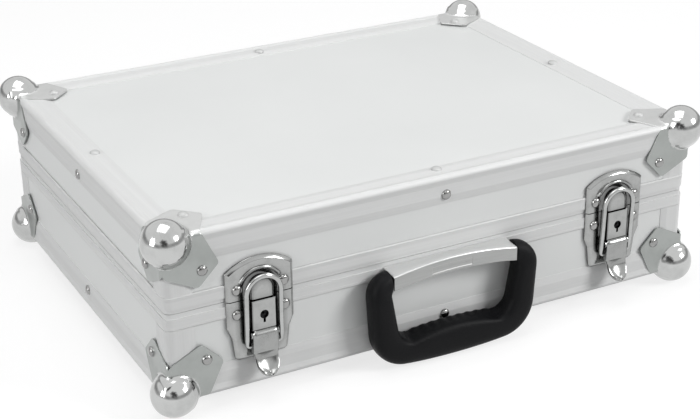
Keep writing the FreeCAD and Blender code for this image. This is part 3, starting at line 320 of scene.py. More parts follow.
# %% Inside mask: 1 on the inner side of the panels, 0 outside
inside, i_in, i_out = effect(
    "inside_of_case", [("Centre", "Vector", (0, 0, 0)), ("Half Size", "Vector", (1, 1, 1))], ["Inside"]
)
spread = vectors(inside, "ABSOLUTE", vectors(inside, "SUBTRACT", i_in["Place"], i_in["Centre"])[0])[0]
margin = vectors(inside, "SUBTRACT", i_in["Half Size"], spread)[0]
axes = add(inside, "ShaderNodeSeparateXYZ", {0: margin}).outputs
least = maths(inside, "MINIMUM", maths(inside, "MINIMUM", axes[0], axes[1]), axes[2])
inside.links.new(maths(inside, "GREATER_THAN", least, 0.0), i_out["Inside"])

# %% [markdown]
# A material is one principled shader. What varies over the surface comes from the effects, and what
# is the same all over, such as the metallic share, is written on the shader itself. The place on the
# surface is always the object's own, so a finish rides along when the lid opens.


# %% Helpers for a material
def principled(name, metallic, **plain_values):
    print("finish", name)
    material = bpy.data.materials.new(name)
    tree = empty_tree(material)
    shader = add(tree, "ShaderNodeBsdfPrincipled", {"Metallic": metallic, **plain_values})
    surface(tree, shader)
    return material, tree, shader, place_on(tree)


def use(tree, group, **values):
    """Puts an effect into a material."""
    named = {key.replace("_", " "): value for key, value in values.items()}
    return add(tree, "ShaderNodeGroup", named, node_tree=group).outputs


def put_on(tree, shader, colour, roughness, height, distance, strength):
    """Feeds into the shader what varies over the surface. The bump's distance is in metres."""
    bump = add(tree, "ShaderNodeBump", {"Height": height, "Distance": distance, "Strength": strength})
    for label, socket in (("Base Color", colour), ("Roughness", roughness), ("Normal", bump.outputs[0])):
        tree.links.new(socket, shader.inputs[label])


def steel(level):
    """A grey with a trace of green, as plated and drawn metal has it."""
    return level, level + 0.005, level, 1


# %% Foil on the panels, dark felt on their inner side
def foil_finish():
    material, tree, shader, place = principled("foil_panel", 0.12)
    skin = use(tree, grain, Place=place, Size=900.0, Cloud_Size=7.0)
    start, end, wall = np.array((LEFT, FRONT, FLOOR)), np.array((RIGHT, BACK, TOP)), 5
    centre, half = tuple(MM * (start + end) / 2), tuple(MM * ((end - start) / 2 - wall))
    felt = use(tree, inside, Place=place, Centre=centre, Half_Size=half)["Inside"]
    pale = shade(tree, (0.745, 0.757, 0.750, 1), (0.775, 0.785, 0.778, 1), skin["Cloud"])
    colour = shade(tree, pale, (0.018, 0.018, 0.020, 1), felt)
    satin = fit_range(tree, skin["Cloud"], 0.0, 1.0, 0.40, 0.48)
    rough = maths(tree, "MAXIMUM", satin, maths(tree, "MULTIPLY", felt, 0.95))
    put_on(tree, shader, colour, rough, skin["Height"], 0.00003, 0.35)
    return material


foil = foil_finish()


# %% Satin anodised profiles, drawn along their length
def anodised_finish(name, stretch):
    material, tree, shader, place = principled(name, 0.10, **{"Specular IOR Level": 0.22})
    lines = use(tree, drawn, Place=place, Stretch=stretch)
    skin = use(tree, grain, Place=place, Size=500.0, Cloud_Size=5.0)
    streaks = shade(tree, steel(0.70), steel(0.77), lines["Streak"])
    colour = shade(tree, streaks, (0.74, 0.742, 0.742, 1), maths(tree, "MULTIPLY", skin["Cloud"], 0.35))
    rough = fit_range(tree, lines["Streak"], 0.0, 1.0, 0.50, 0.58)
    put_on(tree, shader, colour, rough, lines["Height"], 0.00002, 0.3)
    return material


along_length = anodised_finish("anodised_length", (6.0, 900.0, 900.0))
along_depth = anodised_finish("anodised_depth", (900.0, 6.0, 900.0))
along_height = anodised_finish("anodised_height", (900.0, 900.0, 6.0))


# %% Plated steel: polished on the balls and latches, satin on the corner legs
def plated_finish(name, dark, pale, rough_low, rough_high, size, painted_shade_depth=0.0):
    """Plated steel. Given a painted shade depth in metres, painted shade darkens the colour in crevices."""
    material, tree, shader, place = principled(name, 1.0)
    marks = use(tree, handled, Place=place, Size=size)
    colour = shade(tree, pale, dark, marks["Smudge"])
    if painted_shade_depth:
        # painted shade: an occlusion node darkens the colour where other parts stand within the depth
        near = add(tree, "ShaderNodeAmbientOcclusion", {"Distance": painted_shade_depth}, samples=8)
        colour = shade(tree, (0.02, 0.02, 0.02, 1), colour, maths(tree, "POWER", near.outputs["AO"], 1.8))
    rough = fit_range(tree, marks["Smudge"], 0.0, 1.0, rough_low, rough_high)
    put_on(tree, shader, colour, rough, marks["Ripple"], 0.00012, 0.25)
    return material


polished = plated_finish("polished_nickel", steel(0.46), steel(0.54), 0.09, 0.16, 70.0)
satin_nickel = plated_finish("satin_nickel", (0.32, 0.335, 0.325, 1), (0.37, 0.385, 0.375, 1), 0.28, 0.36, 45.0)
# A paler copy of the satin for level faces of the corners: painted light.
satin_painted_light = plated_finish("satin_painted_light", steel(0.56), steel(0.62), 0.38, 0.46, 45.0)
# The latch plates, housings and levers take painted shade in their crevices, within 6 and 4 mm.
latch_nickel = plated_finish("latch_nickel", steel(0.33), steel(0.40), 0.13, 0.19, 120.0, 0.006)
lever_nickel = plated_finish("lever_nickel", steel(0.28), steel(0.35), 0.24, 0.31, 120.0, 0.004)
wire_nickel = plated_finish("wire_nickel", steel(0.40), steel(0.47), 0.14, 0.20, 120.0)
rivet_nickel = plated_finish("rivet_nickel", (0.27, 0.27, 0.27, 1), (0.34, 0.34, 0.335, 1), 0.10, 0.18, 200.0)


# %% Satin bracket and hinges, rivets, turned pins, lock cores; paler copies as painted light, near black as painted shade
def brushed_finish(name, dark, pale, stretch, rough_low, rough_high, metallic=1.0):
    material, tree, shader, place = principled(name, metallic)
    lines = use(tree, drawn, Place=place, Stretch=stretch)
    colour = shade(tree, dark, pale, lines["Streak"])
    rough = fit_range(tree, lines["Streak"], 0.0, 1.0, rough_low, rough_high)
    put_on(tree, shader, colour, rough, lines["Height"], 0.00002, 0.4)
    return material


def even(size):
    """A stretch that is the same in all directions."""
    return size, size, size


ALONG = (20.0, 700.0, 700.0)
# The pale copy is painted light on the bracket's roof; the darker satin serves its front face as painted shade.
bracket_satin = brushed_finish("bracket_satin", steel(0.34), steel(0.43), ALONG, 0.26, 0.36, 0.8)
bracket_painted_light = brushed_finish("bracket_painted_light", steel(0.62), steel(0.69), ALONG, 0.38, 0.46, 0.45)
# Rivet heads on level faces take this paler, duller copy as painted light.
rivet_painted_light = brushed_finish("rivet_painted_light", steel(0.51), steel(0.57), even(200.0), 0.50, 0.58, 0.3)
hinge_satin = brushed_finish("hinge_satin", (0.44, 0.44, 0.44, 1), (0.54, 0.54, 0.54, 1), ALONG, 0.28, 0.38)
turned = brushed_finish("turned_pin", (0.4, 0.4, 0.4, 1), (0.5, 0.5, 0.5, 1), (900.0, 60.0, 60.0), 0.25, 0.35)
# The lock cores are near black as painted shade, so that the keyholes read dark.
PAINTED_SHADE_BLACK, PAINTED_SHADE_GREY = (0.012, 0.012, 0.013, 1), (0.03, 0.03, 0.032, 1)
core = brushed_finish("lock_core_painted_shade", PAINTED_SHADE_BLACK, PAINTED_SHADE_GREY, even(300.0), 0.4, 0.55)


# %% Moulded black plastic of the handle
def moulded_finish():
    material, tree, shader, place = principled("moulded_black", 0.0, **{"Specular IOR Level": 0.11})
    skin = use(tree, grain, Place=place, Size=1000.0, Cloud_Size=30.0)
    colour = shade(tree, (0.0032, 0.0034, 0.0040, 1), (0.0062, 0.0064, 0.0072, 1), skin["Cloud"])
    rough = fit_range(tree, skin["Cloud"], 0.0, 1.0, 0.40, 0.52)
    put_on(tree, shader, colour, rough, skin["Height"], 0.0003, 0.8)
    return material


moulded = moulded_finish()


# %% Charcoal foam with open cells
def foam_finish():
    material, tree, shader, place = principled("charcoal_foam", 0.0, **{"Specular IOR Level": 0.15})
    cells = add(tree, "ShaderNodeTexVoronoi", {"Vector": place, "Scale": 620.0}).outputs["Distance"]
    skin = use(tree, grain, Place=place, Size=300.0, Cloud_Size=20.0)
    uneven = fit_range(tree, skin["Height"], 0.3, 0.7, 0.6, 1.0)
    pores = maths(tree, "MULTIPLY", fit_range(tree, cells, 0.0, 0.6), uneven)
    colour = shade(tree, (0.010, 0.010, 0.011, 1), (0.034, 0.034, 0.037, 1), pores)
    put_on(tree, shader, colour, fit_range(tree, pores, 0.0, 1.0, 0.98, 0.85), pores, 0.0006, 0.7)
    return material


foam = foam_finish()

# %% [markdown]
# ## Panels and profiles
# The panels, the profiles, the hinges and the inner parts of the locks are right as measured solids.
# They only take their finish here. Each profile was drawn lengthways, so its lines run along it.

# %% Dress the solids that stay: the first word that a name holds decides
FINISHES = (
    ("panel", foil), ("left_edge", along_depth), ("right_edge", along_depth), ("posts", along_height),
    ("_edge", along_length), ("closing_frame", along_length), ("hinge_leaves", hinge_satin),
    ("_pin", turned), ("rotor", core), ("housing", latch_nickel),
)
dressed = 0
for name, solid in nodes.items():
    finish = next((finish for word, finish in FINISHES if word in name), None)
    if finish:
        solid.data.materials.clear()
        solid.data.materials.append(finish)
        dressed += 1
print("dressed", dressed)

# %% [markdown]
# ## Tools for new pieces
# The pressed and moulded fittings have soft edges that a plain solid lacks. They are made here as
# rows of points joined by quads, which keeps the reflections smooth. Edges sharper than a given
# angle are marked sharp, the others are shaded as one curve.


# %% From points to a piece
def piece_from(name, points, faces, material, crease, weld=0.0):
    """A mesh piece from points in millimetres. Edges sharper than the crease angle stay sharp."""
    mesh = bpy.data.meshes.new(name)
    mesh.from_pydata([tuple(float(value) * MM for value in point) for point in points], [], faces)
    form = bmesh.new()
    form.from_mesh(mesh)
    if weld:
        bmesh.ops.remove_doubles(form, verts=form.verts, dist=weld * MM)
    bmesh.ops.recalc_face_normals(form, faces=form.faces)
    for face in form.faces:
        face.smooth = True
    for edge in form.edges:
        edge.smooth = len(edge.link_faces) != 2 or edge.calc_face_angle(0) < radians(crease)
    form.to_mesh(mesh)
    form.free()
    mesh.materials.append(material)
    piece = bpy.data.objects.new(name, mesh)
    scene.collection.objects.link(piece)
    print("piece", name, "with", len(mesh.polygons), "faces")
    return piece


# %% From an open skin to a folded sheet
def fold_sheet(piece, thickness, softness):
    """Gives an open skin a thickness and soft edges, in millimetres."""
    sheet = piece.modifiers.new("sheet", "SOLIDIFY")
    sheet.thickness = thickness * MM
    sheet.offset = -1
    edge = piece.modifiers.new("edge", "BEVEL")
    edge.width = softness * MM
    edge.segments = 2
    edge.limit_method = "ANGLE"
    edge.angle_limit = radians(50)


# %% Faces for rows and rings of points
def grid_faces(rows, columns, close_rows=False, close_columns=False, start=0):
    """Quads for a grid of rows and columns of points."""
    faces = []
    for row in range(rows if close_rows else rows - 1):
        for column in range(columns if close_columns else columns - 1):
            after, beside = (row + 1) % rows, (column + 1) % columns
            corners = ((row, column), (row, beside), (after, beside), (after, column))
            faces.append(tuple(start + r * columns + c for r, c in corners))
    return faces


def tube_faces(rings, around):
    """Rings of points joined to a tube with closed ends."""
    last = (rings - 1) * around
    ends = [tuple(range(around)), tuple(range(last, last + around))]
    return grid_faces(rings, around, close_columns=True) + ends


# %% Several forms in one piece
def joined(*parts):
    """Puts several lists of points and faces into one."""
    points, faces = [], []
    for more_points, more_faces in parts:
        faces += [tuple(index + len(points) for index in face) for face in more_faces]
        points += list(more_points)
    return points, faces


def moved(part, x=0.0, y=0.0, z=0.0):
    points, faces = part
    return [(px + x, py + y, pz + z) for px, py, pz in points], faces


# %% Outlines with rounded corners
def unit(runs):
    return runs / np.maximum(np.linalg.norm(runs, axis=-1, keepdims=True), 1e-9)


def rounded(corners, steps=6):
    """A closed outline from (x, z, radius) corners."""
    path = []
    for index, (x, z, radius) in enumerate(corners):
        here = np.array((x, z), float)
        if radius <= 0:
            path.append(here)
            continue
        beside = (corners[index - 1], corners[(index + 1) % len(corners)])
        before, after = (unit(np.array(corner[:2], float) - here) for corner in beside)
        half = acos(max(-1, min(1, float(before @ after)))) / 2
        start, end = here + before * radius / tan(half), here + after * radius / tan(half)
        centre = here + unit(before + after) * radius / sin(half)
        first = atan2(*(start - centre)[::-1])
        sweep = (atan2(*(end - centre)[::-1]) - first + pi) % (2 * pi) - pi
        path += arc(*centre, radius, first, first + sweep, steps + 1)
    return np.array(path)


# %% Insets of outlines, and plates with a pressed rim
def left_of(runs):
    """The direction to the left of each run."""
    return unit(np.stack((-runs[:, 1], runs[:, 0]), axis=1))


def mitre(before, after):
    """How a corner moves when both of its sides move by one."""
    mean = before + after
    return mean / np.maximum((mean * before).sum(axis=1, keepdims=True), 0.3)


def inset(outline, distance):
    """The outline moved inwards by a distance. The outline runs anticlockwise."""
    before, after = outline - np.roll(outline, 1, axis=0), np.roll(outline, -1, axis=0) - outline
    return outline + mitre(left_of(before), left_of(after)) * distance


def slid(path, distance):
    """An open path moved to its left by a distance."""
    sides = left_of(np.diff(path, axis=0))
    sides = np.vstack((sides[:1], sides, sides[-1:]))
    return path + mitre(sides[:-1], sides[1:]) * distance


def rimmed_plate(path_at, rim):
    """A plate cut flat between the ends of an open path. The rim is a list of (inset, height)."""
    points = [(x, -height, z) for distance, height in rim for x, z in path_at(distance)]
    count = len(points) // len(rim)
    last = len(points) - count
    ends = [*range(0, last + 1, count), *range(len(points) - 1, 0, -count)]
    faces = [tuple(range(count)), tuple(range(last, len(points))), tuple(ends)]
    return points, grid_faces(len(rim), count) + faces


# %% [markdown]
# ## Ridges and lips of the profiles
# The extruded edge profile isn't flat: its nose is a tight bead that stands a millimetre proud, a
# sloping facet leads down to each flange, and each flange falls away again at its tip. These slopes
# make the fine stripes along every edge. A thin skin with that section covers each plain edge. The
# closing profiles get a fine lip in the same way, where they hold the panels.


# %% A skin from one flange's tip over the nose to the other's
def skin_section():
    """Points (inward, upward) from the corner of the case, first the outer side, then the inner."""
    flange = [(0.68, 19.0), (-0.25, 13.5), (-0.25, 5.7)]
    bead, under = arc(2.2, 2.2, 3.3, pi, 1.5 * pi, 19), arc(6, 6, 5.5, pi, 1.5 * pi, 7)
    outer = flange + bead + [(b, a) for a, b in flange[::-1]]
    return outer + ([(0.85, 18.9), (0.5, 13.4)] + under + [(13.4, 0.5), (18.9, 0.85)])[::-1]


def edge_skin(edge, corner, along, inward, upward, run, finish):
    """A skin along one edge, from a corner of the case. It ends under the ball corners."""
    corner, along, inward, upward = (np.array(v, float) for v in (corner, along, inward, upward))
    section, ends = skin_section(), (20.0, run - 20.0)
    points = [corner + along * reach + inward * a + upward * b for reach in ends for a, b in section]
    piece = piece_from(edge + "_ridge", points, tube_faces(2, len(section)), finish, crease=6)
    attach(piece, "lid" if edge.startswith("lid") else "base")


for shell, level, way in (("lid", TOP, (0, 0, -1)), ("base", FLOOR, (0, 0, 1))):
    for side, y, into in (("front", FRONT, 1), ("back", BACK, -1)):
        edge_skin(f"{shell}_{side}", (LEFT, y, level), (1, 0, 0), (0, into, 0), way, RIGHT - LEFT, along_length)
    for side, x, into in (("left", LEFT, 1), ("right", RIGHT, -1)):
        edge_skin(f"{shell}_{side}", (x, FRONT, level), (0, 1, 0), (into, 0, 0), way, BACK - FRONT, along_depth)


# %% Lips of the closing profiles, carried round the case
def closing_lip(shell, level, upward, section):
    """A ring with a section of (inward, rise) points. It starts at the panels' edge."""
    bend = 6
    path = rounded([(x, y, bend) for x, y in ((LEFT, FRONT), (RIGHT, FRONT), (RIGHT, BACK), (LEFT, BACK))], 10)
    points = [(x, y, level + upward * rise) for inward, rise in section for x, y in inset(path, inward)]
    faces = grid_faces(len(section), len(path), close_rows=True, close_columns=True)
    piece = piece_from(shell + "_closing_lip", points, faces, along_length, crease=6)
    piece.data.materials.append(along_depth)
    for face in piece.data.polygons:
        face.material_index = int(abs(face.center.x) > MM * (RIGHT - bend))
    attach(piece, shell)


LID_LIP = [(0.9, 0.0), (0.25, 0.0), (-0.3, 0.5), (-0.3, 0.75), (0.0, 2.9), (0.3, 2.9), (0.9, 0.9)]
BASE_LIP = [(0.9, 0.0), (0.4, 0.0), (-0.08, 0.9), (-0.08, 2.4), (0.3, 2.6), (0.9, 0.9)]
closing_lip("lid", high("lid_closing_frame")[2], -1, LID_LIP)
closing_lip("base", BELT, 1, BASE_LIP)

# %% [markdown]
# ## Ball corners
# Each corner is one pressed sheet: three five-sided legs that fold round the edges of the case, and a
# ball that bulges out where they meet. A sheet like that is easiest as a skin: a grid is laid over
# the three legs, and every point is pushed outwards along a ray from inside the case until it meets
# the form. The form is a rounded box corner and a ball, joined with a soft fillet.

# %% The pressed form as a distance
SHEET = 1.2
BALL, BALL_IN = 15.3, 4.1
NOSE, FILLET = 2.3 + SHEET, 2.6
TRIM, TRIM_START, TRIM_RUN = 0.45, 3.0, 1.1
HEART = np.full(3, 11.0)


def corner_distance(points):
    """How far points lie outside the pressed form. The case fills the positive side of each axis.
    Where the ball stands proud of the legs it is trimmed, to stay within the measured ball."""
    beyond = (NOSE - SHEET) - points
    block = np.linalg.norm(np.maximum(beyond, 0), axis=1) - NOSE + np.minimum(beyond.max(axis=1), 0)
    proud = np.sort(-SHEET - points, axis=1)[:, -1]
    step = np.clip((proud - TRIM_START) / TRIM_RUN, 0, 1)
    radius = BALL - TRIM * step * step * (3 - 2 * step)
    ball = np.linalg.norm(points - BALL_IN, axis=1) - radius
    share = np.clip(0.5 + 0.5 * (ball - block) / FILLET, 0, 1)
    return ball + (block - ball) * share - FILLET * share * (1 - share)


def push_out(points):
    """Points moved along rays from the heart of the corner to the pressed form."""
    ways = unit(points - HEART)
    near, far = np.zeros(len(points)), np.full(len(points), 80.0)
    for _ in range(40):
        half = (near + far) / 2
        outside = corner_distance(HEART + ways * half[:, None]) > 0
        near, far = np.where(outside, near, half), np.where(outside, half, far)
    return HEART + ways * near[:, None]


# %% A leg's outline as a square patch
def even_line(points, count):
    points = np.array(points, float)
    lengths = np.r_[0, np.cumsum(np.linalg.norm(np.diff(points, axis=0), axis=1))]
    wanted = np.linspace(0, lengths[-1], count)
    return np.stack([np.interp(wanted, lengths, points[:, axis]) for axis in (0, 1)], axis=1)


def leg_patch(count):
    """A grid over one leg: two sides lie on the folds, the other two are the free outline."""
    fold, far, beside_far, soft = 25.0, 36.3, 22.0, 3.2
    ends = [(far, beside_far, soft), (beside_far, far, soft)]
    free = rounded([(fold, -SHEET, 0), *ends, (-SHEET, fold, 0), (-SHEET, -SHEET, 0)])
    tip = np.full(2, (far + beside_far) / 2)
    right = even_line([*free[: len(free) // 2], tip], count)
    ease = np.linspace(0, 1, count)
    bottom = np.stack((-SHEET + (fold + SHEET) * ease, np.full(count, -SHEET)), axis=1)
    u, v = (side[..., None] for side in np.meshgrid(ease, ease, indexing="ij"))
    grid = (1 - v) * bottom[:, None] + v * right[:, None, ::-1]
    grid = grid + (1 - u) * bottom[None, :, ::-1] + u * right[None]
    near, beside, above = (np.array(p, float) for p in ((-SHEET, -SHEET), (fold, -SHEET), (-SHEET, fold)))
    flat = (1 - u) * ((1 - v) * near + v * above) + u * ((1 - v) * beside + v * tip)
    return (grid - flat).reshape(-1, 2)


# %% Build the sheet once
# Level faces of the corner sheets and the bracket take a paler copy of their finish as painted light.
LEVEL = 0.6  # a face whose normal points further up or down than this counts as level


def ball_corner_mesh(count=44):
    """Three legs and the ball: satin legs, a polished ball, and level faces paler as painted light."""
    patch = leg_patch(count)
    leg = np.column_stack((patch, np.full(len(patch), -SHEET)))
    points = np.vstack([push_out(np.roll(leg, turn, axis=1)) for turn in range(3)])
    faces = [face for turn in range(3) for face in grid_faces(count, count, start=turn * len(leg))]
    piece = piece_from("corner_pattern", points, faces, satin_nickel, crease=180, weld=0.01)
    mesh = piece.data
    mesh.materials.append(polished)
    mesh.materials.append(satin_painted_light)
    centre, margin = Vector((BALL_IN, BALL_IN, BALL_IN)) * MM, 0.9
    for face in mesh.polygons:
        on_ball = (face.center - centre).length < (BALL + margin) * MM
        # faces that lie level get the paler copy of the satin: painted light
        face.material_index = 1 if on_ball else 2 if abs(face.normal.z) > LEVEL else 0
    outermost = min(mesh.polygons, key=lambda face: sum(face.center))
    if sum(outermost.normal) > 0:
        mesh.flip_normals()
    bpy.data.objects.remove(piece)
    return mesh


corner_mesh = ball_corner_mesh()
print("corner sheet:", len(corner_mesh.polygons), "faces")


# %% Wrap a sheet round each of the eight corners
def place_corner(name, x, y, z):
    """The sheet is the same when two of its axes are exchanged, so no corner needs a mirrored one."""
    toward = [1 if x < 0 else -1, 1 if y < MIDWAY else -1, 1 if z < PARTING else -1]
    columns = [Vector((toward[0], 0, 0)), Vector((0, toward[1], 0)), Vector((0, 0, toward[2]))]
    if toward[0] * toward[1] * toward[2] < 0:
        columns[0], columns[1] = columns[1], columns[0]
    turn = Matrix(columns).transposed().to_4x4()
    piece = bpy.data.objects.new(name + "_sheet", corner_mesh)
    scene.collection.objects.link(piece)
    piece.matrix_world = Matrix.Translation(Vector((x, y, z)) * MM) @ turn
    fold_sheet(piece, 1.1, 0.3)
    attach(piece, "lid" if name.startswith("lid") else "base")
    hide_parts(name)


for shell, level in (("lid", TOP), ("base", FLOOR)):
    for side, x in (("left", LEFT), ("right", RIGHT)):
        place_corner(f"{shell}_ball_corner_front_{side}", x, FRONT, level)
        place_corner(f"{shell}_ball_corner_back_{side}", x, BACK, level)
print("ball corners placed")

# %% [markdown]
# ## Rivets
# A rivet's head is a low dome with a small flat land at its rim. A short curve turned round an axis
# makes one head, and a list of places and directions sets out all of them. Heads that belong to the
# same group of the case stay together in one piece. On level faces they take a paler, duller copy
# of their finish, as painted light.


# %% One head, and a group of them
def rivet_head():
    radius, rise, turns, land = 3.5, 2.0, 24, (0.12, 0.3)
    curve = [(radius, -0.05), (radius, land[0]), (radius - land[0], land[1])]
    for step in range(1, 7):
        angle = radians(90 * step / 7)
        curve.append(((radius - land[0]) * cos(angle), land[1] + (rise - land[1]) * sin(angle)))
    points = [(x, y, height) for r, height in curve for x, y in circle(r, turns)] + [(0, 0, rise)]
    last, top = (len(curve) - 1) * turns, len(points) - 1
    faces = grid_faces(len(curve), turns, close_columns=True)
    return points, faces + [(last + k, last + (k + 1) % turns, top) for k in range(turns)]


FACING = {
    "left": (-1, 0, 0), "right": (1, 0, 0), "front": (0, -1, 0), "back": (0, 1, 0),
    "down": (0, 0, -1), "up": (0, 0, 1),
}


def rivet_group(node, places):
    points, faces = rivet_head()
    parts = []
    for way, x, y, z in places:
        turn = Vector(FACING[way]).to_track_quat("Z", "Y").to_matrix()
        parts.append(moved(([tuple(turn @ Vector(point)) for point in points], faces), x, y, z))
    piece = piece_from(node + "_heads", *joined(*parts), rivet_nickel, crease=60)
    piece.data.materials.append(rivet_painted_light)
    for index, face in enumerate(piece.data.polygons):
        # level heads get the paler, duller copy: painted light
        face.material_index = int(places[index // len(faces)][0] in ("up", "down"))
    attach(piece, "lid" if node.startswith("lid") else "base")
    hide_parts(node)


# %% Rivets of the corners and the profiles
def profile_rivets(shell, level, inward, outward):
    """Three on each ball corner, and one in the middle of each flange."""
    across, flange, skin = 25.0, 12.5, 0.25
    rise, line = level + inward * across, level + inward * flange
    places = []
    for x, way_x in ((LEFT, 1), (RIGHT, -1)):
        for y, way_y in ((FRONT, 1), (BACK, -1)):
            places += [
                (outward, x + way_x * across, y + way_y * across, level - inward * SHEET),
                ("front" if way_y > 0 else "back", x + way_x * across, y - way_y * SHEET, rise),
                ("left" if way_x > 0 else "right", x - way_x * SHEET, y + way_y * across, rise),
            ]
    level -= inward * skin
    places += [("front", 0, FRONT - skin, line), ("back", 0, BACK + skin, line)]
    places += [("left", LEFT - skin, MIDWAY, line), ("right", RIGHT + skin, MIDWAY, line)]
    places += [(outward, 0, FRONT + flange, level), (outward, 0, BACK - flange, level)]
    places += [(outward, LEFT + flange, MIDWAY, level), (outward, RIGHT - flange, MIDWAY, level)]
    rivet_group(shell + "_profile_rivets", places)


profile_rivets("lid", TOP, -1, "up")
profile_rivets("base", FLOOR, 1, "down")

# %% Rivets of the latches and the hinges
PLATE, CATCH_OUT, CATCH_UP, STRIKE_OUT, STRIKE_DOWN = 2.4, 15.6, 7.5, 16.0, 9.2
LEAF, LEAF_RISE, LEAF_HALF, HINGE_OUT = 1.5, 16.5, 17, 110
lid_fittings, base_fittings = [], []
for x in LATCHES.values():
    for side in (-1, 1):
        lid_fittings.append(("front", x + side * CATCH_OUT, FRONT - PLATE, PARTING + CATCH_UP))
        base_fittings.append(("front", x + side * STRIKE_OUT, FRONT - PLATE, PARTING - STRIKE_DOWN))
for x in (middle("hinge_pins")[0] + side * HINGE_OUT for side in (-1, 1)):
    for side in (-1, 1):
        lid_fittings.append(("back", x + side * LEAF_HALF, BACK + LEAF, PARTING + LEAF_RISE))
        base_fittings.append(("back", x + side * LEAF_HALF, BACK + LEAF, PARTING - LEAF_RISE))
rivet_group("lid_fitting_rivets", lid_fittings)
rivet_group("base_fitting_rivets", base_fittings)
print("rivets placed, hinge leaves stand", round(high("base_hinge_leaves")[1] - BACK, 2), "mm proud")

# %% [markdown]
# ## Latch plates
# The lid's plate is an arch with a pressed ridge that follows the bail, and a rounded keeper in its
# middle. The base's plate has a waist and a narrower foot. Both are flat sheets with a pressed rim:
# a rim is a few insets of the outline at growing height.

# %% The lid's plate
RIM = [(0, 0), (0, 0.5), (0.2, 0.8), (1.75, 2.15), (2.05, 2.33), (2.4, 2.4), (2.8, 2.4)]
KEEPER_RIM = [(0, 2.3), (0, 3.9), (0.3, 4.55), (0.9, 5.1), (1.7, 5.45), (2.5, 5.6), (2.9, 5.6)]
PLATE_HALF, PLATE_GAP = 22.7, 0.4


def crown_path(distance):
    """The plate's sides and its crown, moved inwards by a distance."""
    half, radius, centre = PLATE_HALF - distance, 36 - distance, -8.84
    first = acos(half / radius)
    crown = arc(0, centre, radius, first + 0.06, pi - first - 0.06, 28)
    corner = (half, centre + radius * sin(first), max(1.3 - distance, 0.05))
    right = [tuple(p) for p in rounded([(half, PLATE_GAP, 0), corner, (*crown[0], 0)], 4)[:6]]
    return right + crown + [(-x, z) for x, z in right[::-1]]


def keeper_path(distance):
    half = 8 - distance
    return [(half, PLATE_GAP)] + arc(0, 6.7, half, 0, pi, 26) + [(-half, PLATE_GAP)]


def catch_plate():
    """The plate, its keeper and the half-round ridge, which fades into the plate at both ends."""
    ring, steps, around = [], 40, 8
    radius, half, rise, centre = 14.9, 1.25, 1.15, 4.8
    for angle in np.linspace(radians(26), radians(154), steps):
        fade = min(1.0, (min(angle, pi - angle) - radians(25)) / 0.2)
        for turn in np.linspace(0, pi, around + 1):
            spot = radius + half * cos(turn)
            ring.append((spot * cos(angle), -2.38 - rise * fade * sin(turn), centre + spot * sin(angle)))
    ridge = (ring, grid_faces(steps, around + 1))
    return joined(rimmed_plate(crown_path, RIM), rimmed_plate(keeper_path, KEEPER_RIM), ridge)


# %% The base's plate, with two ears for the lever's pin
def strike_plate():
    right = [(17.7, -41.7, 3.4), (19.8, -25.5, 5), (PLATE_HALF, -19, 3), (PLATE_HALF, -0.2, 0)]
    outline = rounded([(-x, z, radius) for x, z, radius in right[::-1]] + right, 5)
    reach, drop = LEVER_AXIS[0] - FRONT, LEVER_AXIS[1] - PARTING
    ears = []
    for side in (-1, 1):
        rows = []
        for x, grow in ((8.3, 2.3), (8.45, 2.5), (9.35, 2.5), (9.5, 2.3)):
            tip = arc(reach, drop, grow, 1.5 * pi, 0.5 * pi, 13)
            rows += [(side * x, y, z) for y, z in [(-1.2, drop - grow), *tip, (-1.2, drop + grow)]]
        ears.append((rows, tube_faces(4, len(rows) // 4)))
    return joined(rimmed_plate(lambda distance: slid(outline, distance), RIM), *ears)


for side, x in LATCHES.items():
    for kind, form, body in (("catch", catch_plate, "lid"), ("strike", strike_plate, "base")):
        pressed = moved(form(), x, FRONT, PARTING)
        piece = piece_from(f"{side}_{kind}_plate_pressed", *pressed, latch_nickel, crease=28)
        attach(piece, body)
        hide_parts(f"{side}_{kind}_plate")

# %% [markdown]
# ## Bail and lever
# The bail is a bent wire: a section carried along a path. It is thin and round at its pins, where it
# turns in the lever, and thicker on the legs and the arch. The lever is a folded sheet with a rolled
# barrel at its top and a hollow finger tongue below.


# %% A section carried along a path
def squared(around, power):
    """A circle of points, squared off more as the power grows."""
    return [tuple(copysign(abs(part) ** (2 / power), part) for part in point) for point in circle(1, around)]


def carried(path, sections, around=16):
    """Rings of points along a path of (x, z). Sections are (half width, half depth, power)."""
    ways, points = left_of(np.gradient(np.array(path), axis=0)), []
    for (x, z), way, (wide, deep, power) in zip(path, ways, sections):
        points += [(x + wide * u * way[0], deep * v, z + wide * u * way[1]) for u, v in squared(around, power)]
    return points, tube_faces(len(path), around)


def bail_form():
    half, height = 11.6, 36.1
    line = [(-6.5, 0), (-8.0, 0), (-9.2, 0)] + arc(-9.6, 2.0, 2.0, 1.5 * pi, pi, 6)
    line += [(-half, z) for z in (5, 9, 14, 22, 30)] + arc(0, height, half, pi, pi / 2, 14)
    line += [(-x, z) for x, z in line[-2::-1]]
    flat = [np.clip(z / 5, 0, 1) for x, z in line]
    return carried(line, [(1.0 + 0.6 * f, 1.0 + 0.5 * f, 2.0 + 0.3 * f) for f in flat])


